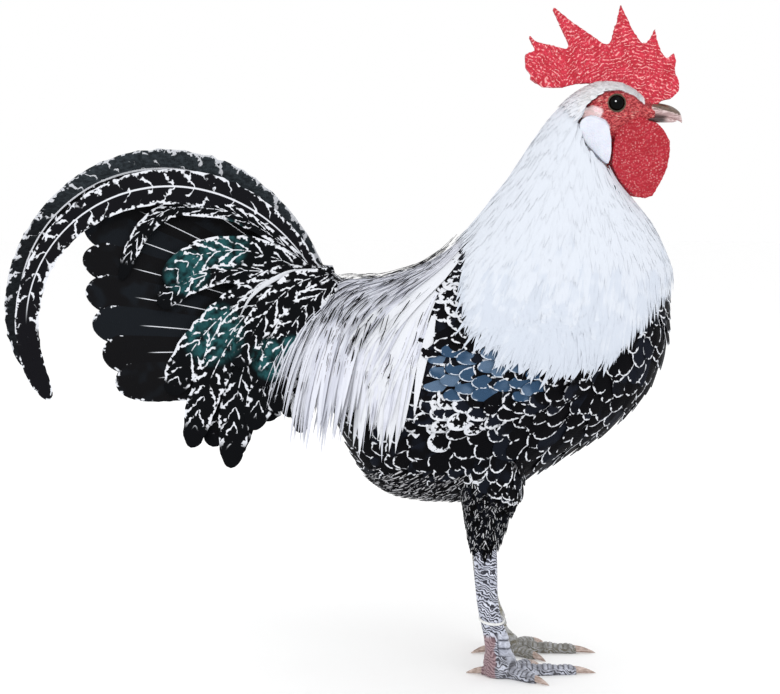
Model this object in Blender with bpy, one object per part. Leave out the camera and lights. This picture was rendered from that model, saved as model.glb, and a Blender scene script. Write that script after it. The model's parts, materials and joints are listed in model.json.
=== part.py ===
"""A standing silver Brakel bantam cock at life size, as a still museum model.

The bird faces +X with +Z up and its mid plane is Y = 0, so its right side is at -Y. The origin is
on the floor under the middle of the whole bird. Flesh is lofted from sections across the body,
and each large feather is a thin tapered vane whose root is sunk in the part that it grows from.
"""

import math
import random
from dataclasses import dataclass

import bmesh
import bpy
from mathutils import Vector
from mathutils.bvhtree import BVHTree

MM = 0.001
GAP = 0.3 * MM
SIDES = {"right": -1, "left": 1}
MODEL = "brakel_bantam_cock"

# Sections across the body: back point x and z, belly point x and z, half width, all in mm.
# The last five fan out from the nape, so that the breast closes in a slanted neck seam.
TORSO_SECTIONS = (
    (-6, 191.5, -6, 134, 24),
    (1, 193.5, -3, 124, 28),
    (15, 193.5, 10, 99, 37),
    (28, 196, 30, 87, 42),
    (40, 200, 53, 85, 46),
    (51, 207, 78, 89, 47.5),
    (58, 213.5, 106, 104, 48),
    (59.5, 215, 134, 121.5, 47.5),
    (60.5, 216, 152.5, 142, 46),
    (61.5, 217, 160.5, 167, 43.5),
    (62.5, 218, 158.5, 193, 40),
)
NECK_SECTIONS = (
    (62.5, 218, 158.5, 193, 40),
    (70, 227, 158.5, 200, 38.5),
    (76, 235, 157.5, 206.5, 36),
    (82.6, 243, 156.5, 213, 33),
    (89.9, 254, 151.5, 223, 28.5),
    (97.3, 265, 143.5, 233.5, 24.5),
    (105.2, 275.3, 134, 246, 20),
    (113, 283.2, 129, 259, 16),
)
HEAD_SECTIONS = (
    (113, 283.2, 129, 259, 15.5),
    (119.5, 288.6, 133, 263, 15.8),
    (127, 292, 137, 266.4, 15.2),
    (134.5, 292.4, 142, 268.8, 13.8),
    (141.5, 290, 146.8, 270.6, 11.4),
    (148, 285.4, 150, 272, 8.4),
    (152.3, 282.2, 152.3, 272.8, 6),
)
BODY_FULLNESS = 2.25
CAPE_DEPTH = 4.2 * MM
# The foot of the neck's core stands proud of the trunk, so that the lowest hackles clear that.
HEM_HEIGHT = 2.5 * MM
HEM_END = 0.55
HEM_FADE = 1.7

# The comb's edge from the forehead back to the nape and home along the skull, x and z in mm.
COMB_EDGE = (
    (157, 283.2), (161.5, 284.2), (165.2, 287.8), (165.8, 292), (163.4, 297.4), (164, 302),
    (163.2, 307), (160.6, 304.2), (158.8, 304), (156.4, 307.6), (154.6, 313), (153.4, 318.3),
    (151.6, 314), (149.4, 311), (147, 311.2), (142.4, 318), (139, 325), (136.5, 330.7),
    (134.6, 322), (132.6, 314), (130.2, 310.6), (126, 311.6), (119, 317), (111.5, 323.6),
    (103.8, 328.8), (106.4, 320.5), (109, 313), (110, 309.2), (106.8, 308.4), (100.6, 311),
    (95.6, 313.6), (91.4, 315.4), (93, 311.6), (93.6, 308.6), (90, 306.6), (91.4, 303.8),
    (89.6, 300.4), (91.6, 296.6), (93.6, 292.6), (97.8, 290), (104.5, 289.4), (112, 290),
    (119, 286), (130, 284), (144, 281), (152, 279),
)
COMB_BASE_Z = 289 * MM
COMB_HEIGHT = 42 * MM
COMB_THICKNESS = 6.4 * MM

WATTLE_SECTIONS = (
    # z, middle x, half length, middle y, half thickness
    (271.5, 144.5, 6.5, 7.4, 1.8),
    (266, 146.4, 11.6, 8.4, 2.7),
    (258.5, 146, 14.4, 9.6, 3),
    (250.5, 145.2, 14.4, 10.4, 3.1),
    (243, 146.6, 11.4, 10.9, 2.7),
    (238.2, 147.6, 6.8, 11, 1.9),
    (236.2, 147.8, 3, 11, 1.1),
)

EYE_CENTRE = Vector((133.6, 10, 281.6)) * MM
EYE_RADIUS = 5.2 * MM
LID_RADIUS = 4.9 * MM
LID_THICKNESS = 1.1 * MM

THIGH_SECTIONS = (
    # z, middle x, half length, middle y, half width
    (126, 70, 16, 27, 11),
    (106, 71.5, 19.5, 27, 14),
    (92, 71.8, 19, 26.5, 13.5),
    (84, 71, 15.5, 26, 12),
    (76, 69.8, 12, 25.5, 10),
    (68, 68.6, 9.6, 25, 8.2),
    (62.3, 68, 7.4, 25, 6.8),
)
SHANK_SECTIONS = (
    (62, 68, 6.9, 25, 6.2),
    (57, 68.4, 6.6, 25, 5.8),
    (50, 69.6, 5.8, 25, 4.9),
    (38, 71, 5.5, 25, 4.6),
    (28, 72.8, 5.7, 25, 4.8),
    (20, 74.8, 6.1, 25, 5.4),
    (13, 76, 6.6, 25, 6.2),
)
SCUTES = 9
SCUTE_STEP = 0.35 * MM
LEG_FORWARD = {"right": 0, "left": 4 * MM}

RING_HEIGHT = 3.2 * MM
RING_Z = 27.6 * MM
RING_BORE = 6.6 * MM
RING_WALL = 0.9 * MM

# Where the tail meets the body, and the bands beside the mid plane that its layers keep to.
TAIL_SEAM_X = -6 * MM

rng = random.Random(11)


def smooth_value(keys, place):
    """Value at a place along evenly spaced keys, on a curve that never overshoots them."""
    last = len(keys) - 1
    index = min(int(place), last - 1)
    part = place - index
    steps = [keys[i + 1] - keys[i] for i in range(last)]

    def slope(i):
        before = steps[max(i - 1, 0)]
        after = steps[min(i, last - 1)]
        if before * after <= 0:
            return 0
        return 2 * before * after / (before + after)

    start, end = keys[index], keys[index + 1]
    square, cube = part ** 2, part ** 3
    return (
        start * (2 * cube - 3 * square + 1)
        + end * (3 * square - 2 * cube)
        + slope(index) * (cube - 2 * square + part)
        + slope(index + 1) * (cube - square)
    )


def between(table, place):
    """All the columns of a table at a place along its rows."""
    return [smooth_value([row[i] for row in table], place) for i in range(len(table[0]))]


def power(value, exponent):
    """A power that keeps the sign of its base."""
    return math.copysign(abs(value) ** exponent, value)


def body_point(table, place, turn, inset=0.0):
    """Point on the body's skin at a place along the sections and a turn round them from the back."""
    back_x, back_z, belly_x, belly_z, half_width = [value * MM for value in between(table, place)]
    back, belly = Vector((back_x, 0, back_z)), Vector((belly_x, 0, belly_z))
    up = (back - belly).normalized()
    half_height = (back - belly).length / 2 - inset
    rise = power(math.cos(turn), 2 / BODY_FULLNESS)
    out = power(math.sin(turn), 2 / BODY_FULLNESS)
    return (back + belly) / 2 + up * half_height * rise + Vector((0, (half_width - inset) * out, 0))


def body_ring(table, place, count, inset=0.0, shift=0.0):
    """One section of the body, moved forward along its own normal by a small shift."""
    ring = [body_point(table, place, math.tau * i / count, inset) for i in range(count)]
    across = ring[0] - ring[count // 2]
    normal = Vector((0, 1, 0)).cross(across).normalized()
    return [point + normal * shift for point in ring]


def level_ring(section, side, count, shift=Vector()):
    """A level oval from a row of z, middle x, half length, middle y and half width."""
    height, middle_x, half_length, middle_y, half_width = [value * MM for value in section]
    middle = Vector((middle_x, side * middle_y, height)) + shift
    ring = []
    for i in range(count):
        turn = math.tau * i / count
        ring.append(middle + Vector((half_length * math.cos(turn), half_width * math.sin(turn), 0)))
    return ring


def new_object(name, shape):
    """Object at the origin from a closed bmesh, in triangles that point outwards."""
    bmesh.ops.triangulate(shape, faces=[face for face in shape.faces if len(face.verts) == 4])
    bmesh.ops.recalc_face_normals(shape, faces=shape.faces)
    mesh = bpy.data.meshes.new(name)
    shape.to_mesh(mesh)
    shape.free()
    item = bpy.data.objects.new(name, mesh)
    bpy.context.scene.collection.objects.link(item)
    return item


def loft(name, rings, tip=None):
    """Closed solid through rings of equal count, ending in a flat face or in a tip."""
    shape = bmesh.new()
    rows = [[shape.verts.new(point) for point in ring] for ring in rings]
    count = len(rows[0])
    for low, high in zip(rows, rows[1:]):
        for i in range(count):
            j = (i + 1) % count
            shape.faces.new((low[i], low[j], high[j], high[i]))
    shape.faces.new(rows[0])
    if tip is None:
        shape.faces.new(rows[-1])
    else:
        point = shape.verts.new(tip)
        for i in range(count):
            shape.faces.new((rows[-1][i], rows[-1][(i + 1) % count], point))
    return new_object(name, shape)


def ellipsoid(name, middle, radii, around=16, along=10, tilt=0.0):
    """Ellipsoid with its radii along X, Y and Z, tilted about Y."""
    shape = bmesh.new()
    bmesh.ops.create_uvsphere(shape, u_segments=around, v_segments=along, radius=1)
    bmesh.ops.scale(shape, vec=radii, verts=shape.verts)
    turn = Vector((1, 0, 0)).rotation_difference(Vector((math.cos(tilt), 0, math.sin(tilt))))
    bmesh.ops.rotate(shape, cent=Vector(), matrix=turn.to_matrix(), verts=shape.verts)
    bmesh.ops.translate(shape, vec=middle, verts=shape.verts)
    return new_object(name, shape)


def box(name, low, high):
    """Block between two corners."""
    shape = bmesh.new()
    bmesh.ops.create_cube(shape, size=1)
    bmesh.ops.scale(shape, vec=high - low, verts=shape.verts)
    bmesh.ops.translate(shape, vec=(high + low) / 2, verts=shape.verts)
    return new_object(name, shape)


def apply_modifiers(item):
    """Replace an object's mesh by what its modifiers make of it."""
    graph = bpy.context.evaluated_depsgraph_get()
    mesh = bpy.data.meshes.new_from_object(item.evaluated_get(graph))
    item.modifiers.clear()
    item.data = mesh


def keep_largest(item):
    """Keep only the largest closed surface of a mesh."""
    shape = bmesh.new()
    shape.from_mesh(item.data)
    groups = []
    seen = set()
    for face in shape.faces:
        if face in seen:
            continue
        group = [face]
        seen.add(face)
        for member in group:
            for edge in member.edges:
                for other in edge.link_faces:
                    if other not in seen:
                        seen.add(other)
                        group.append(other)
        groups.append(group)
    largest = max(groups, key=lambda group: sum(face.calc_area() for face in group))
    loose = [face for group in groups if group is not largest for face in group]
    bmesh.ops.delete(shape, geom=loose, context="FACES")
    shape.to_mesh(item.data)
    shape.free()


def cut(item, *tools, solver="EXACT"):
    """Cut tools, which are used up, out of an object."""
    for tool in tools:
        modifier = item.modifiers.new("cut", "BOOLEAN")
        modifier.operation = "DIFFERENCE"
        modifier.solver = solver
        modifier.object = tool
        apply_modifiers(item)
        bpy.data.objects.remove(tool)
    keep_largest(item)


def fuse(core, pieces, solver="EXACT"):
    """Join pieces, which are used up, to a core by one union."""
    joined = bpy.data.collections.new("joined")
    bpy.context.scene.collection.children.link(joined)
    for piece in pieces:
        bpy.context.scene.collection.objects.unlink(piece)
        joined.objects.link(piece)
    modifier = core.modifiers.new("join", "BOOLEAN")
    modifier.operation = "UNION"
    modifier.solver = solver
    modifier.operand_type = "COLLECTION"
    modifier.collection = joined
    apply_modifiers(core)
    for piece in pieces:
        bpy.data.objects.remove(piece)
    bpy.data.collections.remove(joined)
    keep_largest(core)
    return core


def swollen(item, margin=GAP):
    """Copy of an object whose surface stands off by a margin, to cut its neighbours clear."""
    shape = bmesh.new()
    shape.from_mesh(item.data)
    places = [vert.co + vert.normal * margin * vert.calc_shell_factor() for vert in shape.verts]
    for vert, place in zip(shape.verts, places):
        vert.co = place
    return new_object(item.name + "_swollen", shape)


def tree_of(*items):
    """Search tree over the faces of some objects."""
    points, faces = [], []
    for item in items:
        start = len(points)
        points.extend(vert.co.copy() for vert in item.data.vertices)
        faces.extend([start + i for i in face.vertices] for face in item.data.polygons)
    return BVHTree.FromPolygons(points, faces)


@dataclass(frozen=True)
class Feather:
    """Size and form of one kind of large feather, in metres."""

    length: float
    width: float
    thickness: float = 1.2 * MM
    rows: int = 4
    cup: float = 0.14
    root_width: float = 0.5
    roundness: float = 3.0
    sink: float = 2.5 * MM
    tilt: float = 0.12
    pull: float = 0.0


def vane_rows(feather):
    """Places along a feather, from 0 at the root to 1 at the tip, with the width at each."""
    last = 0.94 if feather.roundness > 4 else 0.86
    rows = []
    for i in range(feather.rows):
        place = last * i / (feather.rows - 1)
        spread = min(1, feather.root_width + (1 - feather.root_width) * place / 0.3)
        taper = (1 - place ** feather.roundness) ** 0.6
        rows.append((place, feather.width * spread * taper))
    return rows


def tangents(spine):
    """Directions along a spine."""
    last = len(spine) - 1
    return [(spine[min(i + 1, last)] - spine[max(i - 1, 0)]).normalized() for i in range(last + 1)]


def vane(name, spine, alongs, normals, widths, feather, pointed=True, tilt=0.0):
    """Thin solid along a spine: a low ridge on both faces, thin edges and an arched section."""
    shape = bmesh.new()
    rows = []
    count = len(widths)
    for i in range(count):
        along = alongs[i]
        normal = (normals[i] - along * normals[i].dot(along)).normalized()
        across = along.cross(normal)
        normal, across = (
            normal * math.cos(tilt) + across * math.sin(tilt),
            across * math.cos(tilt) - normal * math.sin(tilt),
        )
        half, ridge = widths[i] / 2, feather.thickness / 2
        fall = normal * half * feather.cup
        rows.append([
            shape.verts.new(spine[i] - across * half - fall),
            shape.verts.new(spine[i] + normal * ridge),
            shape.verts.new(spine[i] + across * half - fall),
            shape.verts.new(spine[i] - normal * ridge),
        ])
    for low, high in zip(rows, rows[1:]):
        for edge, face in ((0, 1), (0, 3), (2, 1), (2, 3)):
            shape.faces.new((low[edge], low[face], high[face]))
            shape.faces.new((low[edge], high[face], high[edge]))
    ends = [rows[0]] if pointed else [rows[0], rows[-1]]
    for row in ends:
        shape.faces.new((row[0], row[1], row[3]))
        shape.faces.new((row[2], row[1], row[3]))
    if pointed:
        tip = shape.verts.new(spine[count])
        for edge, face in ((0, 1), (0, 3), (2, 1), (2, 3)):
            shape.faces.new((rows[-1][edge], rows[-1][face], tip))
    return new_object(name, shape)


DOWN = Vector((0, 0, -1))
UNDERSIDE = -0.25


def walk(surface, root, heading, length, steps, pull):
    """Points and normals of a path over a surface, which hangs free where it leaves that."""
    place, normal, _, _ = surface.find_nearest(root)
    heading = (heading - normal * heading.dot(normal)).normalized()
    points, normals = [place], [normal]
    free = False
    for _ in range(steps):
        place = place + heading * (length / steps)
        heading = heading + DOWN * pull * (length / steps)
        if not free:
            nearest, turned, _, _ = surface.find_nearest(place)
            if turned.z < UNDERSIDE or (nearest - place).length > length / steps / 2:
                free = True
            else:
                place, normal = nearest, turned
        if free:
            heading = heading.normalized()
            normal = (normal - heading * normal.dot(heading)).normalized()
        else:
            heading = (heading - normal * heading.dot(normal)).normalized()
        points.append(place)
        normals.append(normal)
    return points, normals


def lack_at(trees, point, out, reach=14 * MM):
    """How far a point must rise along a direction to stand clear of what lies over it."""
    lack = 0.0
    for tree, margin in trees:
        hit, _, _, distance = tree.ray_cast(point + out * reach, -out, reach + margin)
        if hit is not None:
            lack = max(lack, reach + margin - distance)
    return lack


def raise_clear(spine, outs, widths, lifts, feather, own, others, clearance):
    """One pass that lifts a feather's rows where it comes too near to what it lies on."""
    raises = [0.0] * len(spine)
    for i in range(len(spine) - 1):
        low = spine[i] + outs[i] * lifts[i]
        high = spine[i + 1] + outs[i + 1] * lifts[i + 1]
        for part in (0.0, 0.35, 0.7, 1.0):
            trees = [(others, clearance)]
            if i > 0 or part > 0.6:
                trees.append((own, clearance))
            out = outs[i].lerp(outs[i + 1], part).normalized()
            across = (high - low).cross(out).normalized()
            half = (widths[i] * (1 - part) + widths[i + 1] * part) / 2
            for share in (-1, -0.5, 0, 0.5, 1):
                fall = half * feather.cup * abs(share) + feather.thickness / 2 * (1 - abs(share))
                lack = lack_at(trees, low.lerp(high, part) + across * half * share - out * fall, out)
                if part < 0.6:
                    raises[i] = max(raises[i], lack)
                if part > 0.3:
                    raises[i + 1] = max(raises[i + 1], lack)
    for i in range(1, len(spine)):
        lifts[i] += raises[i]
    return max(raises[1:])


def settled(lifts, closed):
    """Lifts of a tier's feathers, evened out so that neighbours lie on each other without crossing."""
    count = len(lifts)

    def around(rows, i, row):
        near = [i - 1, i, i + 1]
        if closed:
            near = [k % count for k in near]
        return [rows[k][row] for k in near if 0 <= k < count]

    rows = range(len(lifts[0]))
    highest = [[max(around(lifts, i, row)) for row in rows] for i in range(count)]
    even = []
    for i in range(count):
        even.append([sum(near) / len(near) for near in (around(highest, i, row) for row in rows)])
    return even


def drape_tier(name, surface, starts, own, others, closed=False, clearance=0.7 * MM):
    """Feathers of one tier over a surface, each from its root, heading and kind.

    Their roots are sunk in what they grow from, and the rest lies clear of what is under it.
    """
    steps = 24
    laid, lifts = [], []
    for root, heading, feather in starts:
        points, normals = walk(surface, root, heading, feather.length, steps, feather.pull)
        rows = vane_rows(feather) + [(1.0, 0.0)]
        picks = [min(steps, round(place * steps)) for place, _ in rows]
        spine = [points[i] for i in picks]
        outs = [normals[i] for i in picks]
        widths = [width for _, width in rows]
        raised = [-feather.sink] + [feather.thickness * 0.6] * (len(rows) - 1)
        for _ in range(8):
            if raise_clear(spine, outs, widths, raised, feather, own, others, clearance) < 0.02 * MM:
                break
        laid.append((spine, outs, widths, feather))
        lifts.append(raised)
    pieces = []
    for (spine, outs, widths, feather), raised in zip(laid, settled(lifts, closed)):
        spine = [point + out * lift for point, out, lift in zip(spine, outs, raised)]
        pieces.append(vane(name, spine, tangents(spine), outs, widths[:-1], feather, tilt=feather.tilt))
    return pieces


@dataclass(frozen=True)
class Plume:
    """A tail plume: where it starts, how its spine bends in a plane turned outwards, and its size."""

    root: tuple
    rise: float
    turn: float
    bow: float
    length: float
    width: float
    splay: float
    roll: float = 12
    rows: int = 6
    roundness: float = 5.0
    thickness: float = 1.3


def plume_spine(plume, side, places, steps=48):
    """Points, directions and outward normals at places from 0 to 1 along a plume."""
    splay = math.radians(plume.splay)
    away = Vector((-math.cos(splay), side * math.sin(splay), 0))
    outward = Vector((math.sin(splay), side * math.cos(splay), 0))
    roll = math.radians(plume.roll)

    def angle_at(place):
        return math.radians(plume.rise - plume.turn * place ** plume.bow)

    path = [Vector((plume.root[0], side * plume.root[1], plume.root[2])) * MM]
    for i in range(steps):
        angle = angle_at((i + 0.5) / steps)
        along = away * math.cos(angle) + Vector((0, 0, math.sin(angle)))
        path.append(path[-1] + along * (plume.length * MM / steps))
    points, alongs, normals = [], [], []
    for place in places:
        index = min(int(place * steps), steps - 1)
        angle = angle_at(place)
        crown = Vector((0, 0, math.cos(angle))) - away * math.sin(angle)
        points.append(path[index].lerp(path[index + 1], place * steps - index))
        alongs.append(away * math.cos(angle) + Vector((0, 0, math.sin(angle))))
        normals.append(outward * math.cos(roll) + crown * math.sin(roll))
    return points, alongs, normals


def plume_vane(name, plume, side, start=0.0, end=1.0):
    """Tail plume, or a stretch of one, as a thin solid."""
    feather = Feather(
        length=plume.length * MM, width=plume.width * MM, thickness=plume.thickness * MM,
        rows=plume.rows, roundness=plume.roundness, root_width=0.42, cup=0.08,
    )
    last = 1.0 if end < 1 else 0.94
    places = [start + (end - start) * last * i / (feather.rows - 1) for i in range(feather.rows)]
    widths = []
    for place in places:
        spread = min(1, feather.root_width + (1 - feather.root_width) * place / 0.25)
        taper = (1 - place ** feather.roundness) ** 0.55
        widths.append(feather.width * spread * taper)
    pointed = end >= 1
    if pointed:
        places.append(end)
    spine, alongs, outs = plume_spine(plume, side, places)
    return vane(name, spine, alongs, outs, widths, feather, pointed)


def pad(name, side, low_y, high_y, low_z, high_z, depth):
    """Rounded root pad behind the tail seam, within a band beside the mid plane, all in mm."""
    middle_y, middle_z = (low_y + high_y) / 2, (low_z + high_z) / 2
    rings = []
    for share, size in ((0, 1), (0.45, 0.94), (0.8, 0.7), (0.97, 0.3)):
        ring = []
        for i in range(12):
            turn = math.tau * i / 12
            y = side * (middle_y + power(math.cos(turn), 0.7) * (high_y - low_y) / 2 * size)
            z = middle_z + power(math.sin(turn), 0.7) * (high_z - low_z) / 2 * size
            ring.append(Vector((TAIL_SEAM_X / MM - 0.3 - depth * share, y, z)) * MM)
        rings.append(ring)
    return loft(name, rings)


def swept(name, sections, closed=False):
    """Closed solid through like polygons, in a ring or with a flat face at each end."""
    shape = bmesh.new()
    rows = [[shape.verts.new(point) for point in section] for section in sections]
    pairs = list(zip(rows, rows[1:]))
    if closed:
        pairs.append((rows[-1], rows[0]))
    count = len(rows[0])
    for low, high in pairs:
        for i in range(count):
            j = (i + 1) % count
            shape.faces.new((low[i], low[j], high[j], high[i]))
    if not closed:
        shape.faces.new(rows[0])
        shape.faces.new(rows[-1])
    return new_object(name, shape)


def guide(table, first, last, inset_at):
    """Fine search surface over a stretch of the body's sections."""
    around, along = 72, 60
    points, faces = [], []
    for row in range(along + 1):
        place = first + (last - first) * row / along
        points.extend(body_point(table, place, math.tau * i / around, inset_at(place)) for i in range(around))
    for row in range(along):
        for i in range(around):
            j = (i + 1) % around
            start = row * around
            faces.append([start + i, start + around + i, start + around + j, start + j])
    return points, faces


def joined_guides(first, second):
    """One search surface from two."""
    start = len(first[0])
    return first[0] + second[0], first[1] + [[start + i for i in face] for face in second[1]]


def cape_inset(place):
    """How far the neck's core lies under the cape: less than nothing at its hem, nothing at the head."""
    if place < HEM_FADE:
        share = max(0, (place - HEM_END) / (HEM_FADE - HEM_END))
        return -HEM_HEIGHT + (CAPE_DEPTH + HEM_HEIGHT) * share
    return CAPE_DEPTH * min(1, (len(NECK_SECTIONS) - 1 - place) / 0.8)


def build_torso():
    """Trunk from the tail seam to the slanted neck seam."""
    last = len(TORSO_SECTIONS) - 1
    return loft("torso", [body_ring(TORSO_SECTIONS, last * i / 14, 26) for i in range(15)])


def build_neck():
    """Core of the neck, which the cape's feathers grow from."""
    rings = []
    for place in (0, 0.55, 1.1, 1.7, 2.6, 3.5, 4.4, 5.3, 6.2, 7):
        rings.append(body_ring(NECK_SECTIONS, place, 22, cape_inset(place), 0 if place else GAP))
    return loft("neck", rings)


def build_bills():
    """Upper bill with its nostrils and hooked tip, and lower bill under it."""
    def bill(name, sections, tip):
        rings = []
        for x, low_z, high_z, half_width in sections:
            ring = []
            for i in range(12):
                turn = math.tau * i / 12
                z = (low_z + high_z) / 2 + (high_z - low_z) / 2 * math.cos(turn)
                ring.append(Vector((x, half_width * math.sin(turn), z)) * MM)
            rings.append(ring)
        return loft(name, rings, Vector(tip) * MM)

    upper = bill("bill_upper", (
        (152.6, 276.5, 282, 5.7), (156.5, 276.4, 281.9, 4.8), (160.5, 275.9, 281, 3.7),
        (164, 275, 279.4, 2.5), (166.6, 274, 277.2, 1.4),
    ), (167.6, 0, 273.4))
    lower = bill("bill_lower", (
        (152.6, 273, 276.1, 5.1), (156.5, 272.9, 276, 4.2), (160.5, 272.9, 275.5, 3),
        (163, 273, 274.8, 1.7),
    ), (164.4, 0, 273.9))
    pits = [
        ellipsoid("nostril", Vector((156.8, side * 4.8, 279.5)) * MM, Vector((1.4, 0.9, 0.6)) * MM, 10, 6)
        for side in SIDES.values()
    ]
    cut(upper, *pits)
    return upper, lower


def build_eyes():
    """Both eyeballs."""
    eyes = []
    for name, side in SIDES.items():
        middle = Vector((EYE_CENTRE.x, side * EYE_CENTRE.y, EYE_CENTRE.z))
        eyes.append(ellipsoid(f"eye_{name}", middle, Vector((1, 1, 1)) * EYE_RADIUS, 12, 6))
    return eyes


def build_lid(side):
    """Raised rim of both lids round one eye."""
    sections = []
    for i in range(12):
        turn = math.tau * i / 12
        spoke = Vector((math.cos(turn), 0, math.sin(turn)))
        middle = Vector((EYE_CENTRE.x, side * 13.9 * MM, EYE_CENTRE.z)) + spoke * LID_RADIUS
        section = []
        for j in range(4):
            lean = math.tau * j / 4
            section.append(middle + (spoke * math.cos(lean) + Vector((0, math.sin(lean), 0))) * LID_THICKNESS)
        sections.append(section)
    return swept("lid", sections, closed=True)


def build_head(eyes):
    """Head with its lids, ear tufts, eye sockets and the line of the mouth."""
    rings = []
    for place in (0, 1, 1.7, 2.4, 3.1, 3.8, 4.4, 5, 5.5, 6):
        rings.append(body_ring(HEAD_SECTIONS, place, 18, shift=0 if place else GAP))
    head = loft("head", rings)
    pieces = []
    for side in SIDES.values():
        pieces.append(build_lid(side))
        pieces.append(ellipsoid(
            "ear_tuft", Vector((124.6, side * 14, 277.6)) * MM, Vector((4.2, 2.6, 2.8)) * MM, 8, 5, 0.3,
        ))
    fuse(head, pieces)
    mouth = box("mouth", Vector((146.6, -16, 276.05)) * MM, Vector((154, 16, 276.55)) * MM)
    cut(head, mouth, *[swollen(eye) for eye in eyes])
    return head


def build_comb(head, bill):
    """Single comb with five points, thick along the skull and thin at the points."""
    curve = bpy.data.curves.new("comb_edge", "CURVE")
    curve.dimensions = "2D"
    curve.fill_mode = "BOTH"
    curve.extrude = COMB_THICKNESS / 2
    spline = curve.splines.new("POLY")
    spline.points.add(len(COMB_EDGE) - 1)
    for point, (x, z) in zip(spline.points, COMB_EDGE):
        point.co = (x * MM, z * MM, 0, 1)
    spline.use_cyclic_u = True
    outline = bpy.data.objects.new("comb_edge", curve)
    bpy.context.scene.collection.objects.link(outline)
    graph = bpy.context.evaluated_depsgraph_get()
    mesh = bpy.data.meshes.new_from_object(outline.evaluated_get(graph))
    shape = bmesh.new()
    shape.from_mesh(mesh)
    bmesh.ops.remove_doubles(shape, verts=shape.verts, dist=0.00001)
    for vert in shape.verts:
        x, z, y = vert.co
        rise = min(1, max(0, (z - COMB_BASE_Z) / COMB_HEIGHT))
        vert.co = (x, -y * (1 - 0.66 * rise ** 0.8), z)
    bpy.data.objects.remove(outline)
    comb = new_object("comb", shape)
    cut(comb, swollen(head), swollen(bill))
    return comb


def build_wattle(name, side, head, neck, bill):
    """One wattle, hanging from the lower jaw."""
    rings = [level_ring(section, side, 12) for section in WATTLE_SECTIONS]
    wattle = loft(f"wattle_{name}", rings)
    cut(wattle, swollen(head), swollen(neck), swollen(bill))
    return wattle


def build_earlobe(name, side, head, neck):
    """One earlobe, a flat drop behind the cheek."""
    lobe = ellipsoid(
        f"earlobe_{name}", Vector((123, side * 15.5, 264.2)) * MM, Vector((12, 3, 6.8)) * MM, 12, 6,
        math.atan2(-21, 11),
    )
    cut(lobe, swollen(head), swollen(neck), solver="MANIFOLD")
    return lobe


def build_leg(name, side, torso):
    """Feathered thigh and scaled shank of one leg."""
    forward = Vector((LEG_FORWARD[name], 0, 0))
    thigh = loft(f"thigh_{name}", [level_ring(row, side, 16, forward) for row in THIGH_SECTIONS])
    cut(thigh, swollen(torso))
    rings = []
    last = len(SHANK_SECTIONS) - 1
    for i in range(SCUTES):
        for share, step in ((0.0, 0.0), (0.85, SCUTE_STEP)):
            row = between(SHANK_SECTIONS, last * (i + share) / SCUTES)
            row[2] += step / MM
            row[4] += step / MM
            rings.append(level_ring(row, side, 9, forward))
    rings.append(level_ring(SHANK_SECTIONS[-1], side, 9, forward))
    shank = loft(f"shank_{name}", rings)
    return thigh, shank


@dataclass(frozen=True)
class Toe:
    """A toe by its direction outwards from straight ahead, and its sizes in mm."""

    name: str
    bearing: float
    start: float
    length: float
    width: float
    height: float
    claw: float
    raised: float = 0.0


TOES = (
    Toe("middle", -5, 2, 38, 7.4, 6.2, 10),
    Toe("outer", 42, 2, 22.5, 7.6, 6.2, 8),
    Toe("inner", -48, 2, 23, 7, 5.8, 8),
    Toe("hind", 196, 3, 9.5, 5.8, 5.4, 8, 2.0),
)
TOE_PROFILE = ((-0.4, 0), (-0.5, 0.35), (-0.36, 0.78), (0, 1), (0.36, 0.78), (0.5, 0.35), (0.4, 0))


def toe_ring(start, along, side_way, distance, width, height, lift):
    """One section across a toe, flat beneath, from distances in mm."""
    middle = start + along * distance * MM
    return [
        middle + side_way * u * width * MM + Vector((0, 0, (v * height + lift) * MM))
        for u, v in TOE_PROFILE
    ]


def build_foot(name, side):
    """Foot with its four toes and, as pieces of their own, the four claws."""
    forward = Vector((LEG_FORWARD[name], 0, 0))
    heel = [
        (0, 78, 7.2, 25, 6.8), (1.2, 78, 8.6, 25, 7.8), (6, 77.6, 8.6, 25, 7.8), (12.7, 76, 6.6, 25, 6.2),
    ]
    foot = loft(f"foot_{name}", [level_ring(row, side, 12, forward) for row in heel])
    ground = Vector((77.5 * MM, side * 25 * MM, 0)) + forward
    pieces, claws = [], []
    for toe in TOES:
        bearing = math.radians(toe.bearing)
        along = Vector((math.cos(bearing), side * math.sin(bearing), 0))
        side_way = Vector((-along.y, along.x, 0))
        joints = max(2, round(toe.length / 9))
        steps = 2 * joints
        rings = []
        for i in range(steps + 1):
            share = i / steps
            swell = 1.05 if i % 2 else 0.95
            slim = 1 - 0.34 * share
            lift = toe.raised * (1 - share)
            rings.append(toe_ring(
                ground, along, side_way, toe.start + (toe.length - toe.start) * share,
                toe.width * slim * swell, toe.height * slim * swell, lift,
            ))
        pieces.append(loft("toe", rings))
        claw_rings = []
        end = ground + along * (toe.length + GAP / MM) * MM
        for share, size in ((0, 1), (0.35, 0.82), (0.7, 0.5)):
            radius = 1.75 * size
            height = 2.1 - 1.1 * share ** 1.6
            middle = end + along * toe.claw * share * MM + Vector((0, 0, height * MM))
            claw_rings.append([
                middle + (side_way * math.cos(math.tau * k / 8) * 0.8
                          + Vector((0, 0, math.sin(math.tau * k / 8)))) * radius * MM
                for k in range(8)
            ])
        claws.append(loft(
            f"claw_{name}_{toe.name}", claw_rings, end + along * toe.claw * MM + Vector((0, 0, 0.35 * MM)),
        ))
    fuse(foot, pieces)
    return foot, claws


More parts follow.
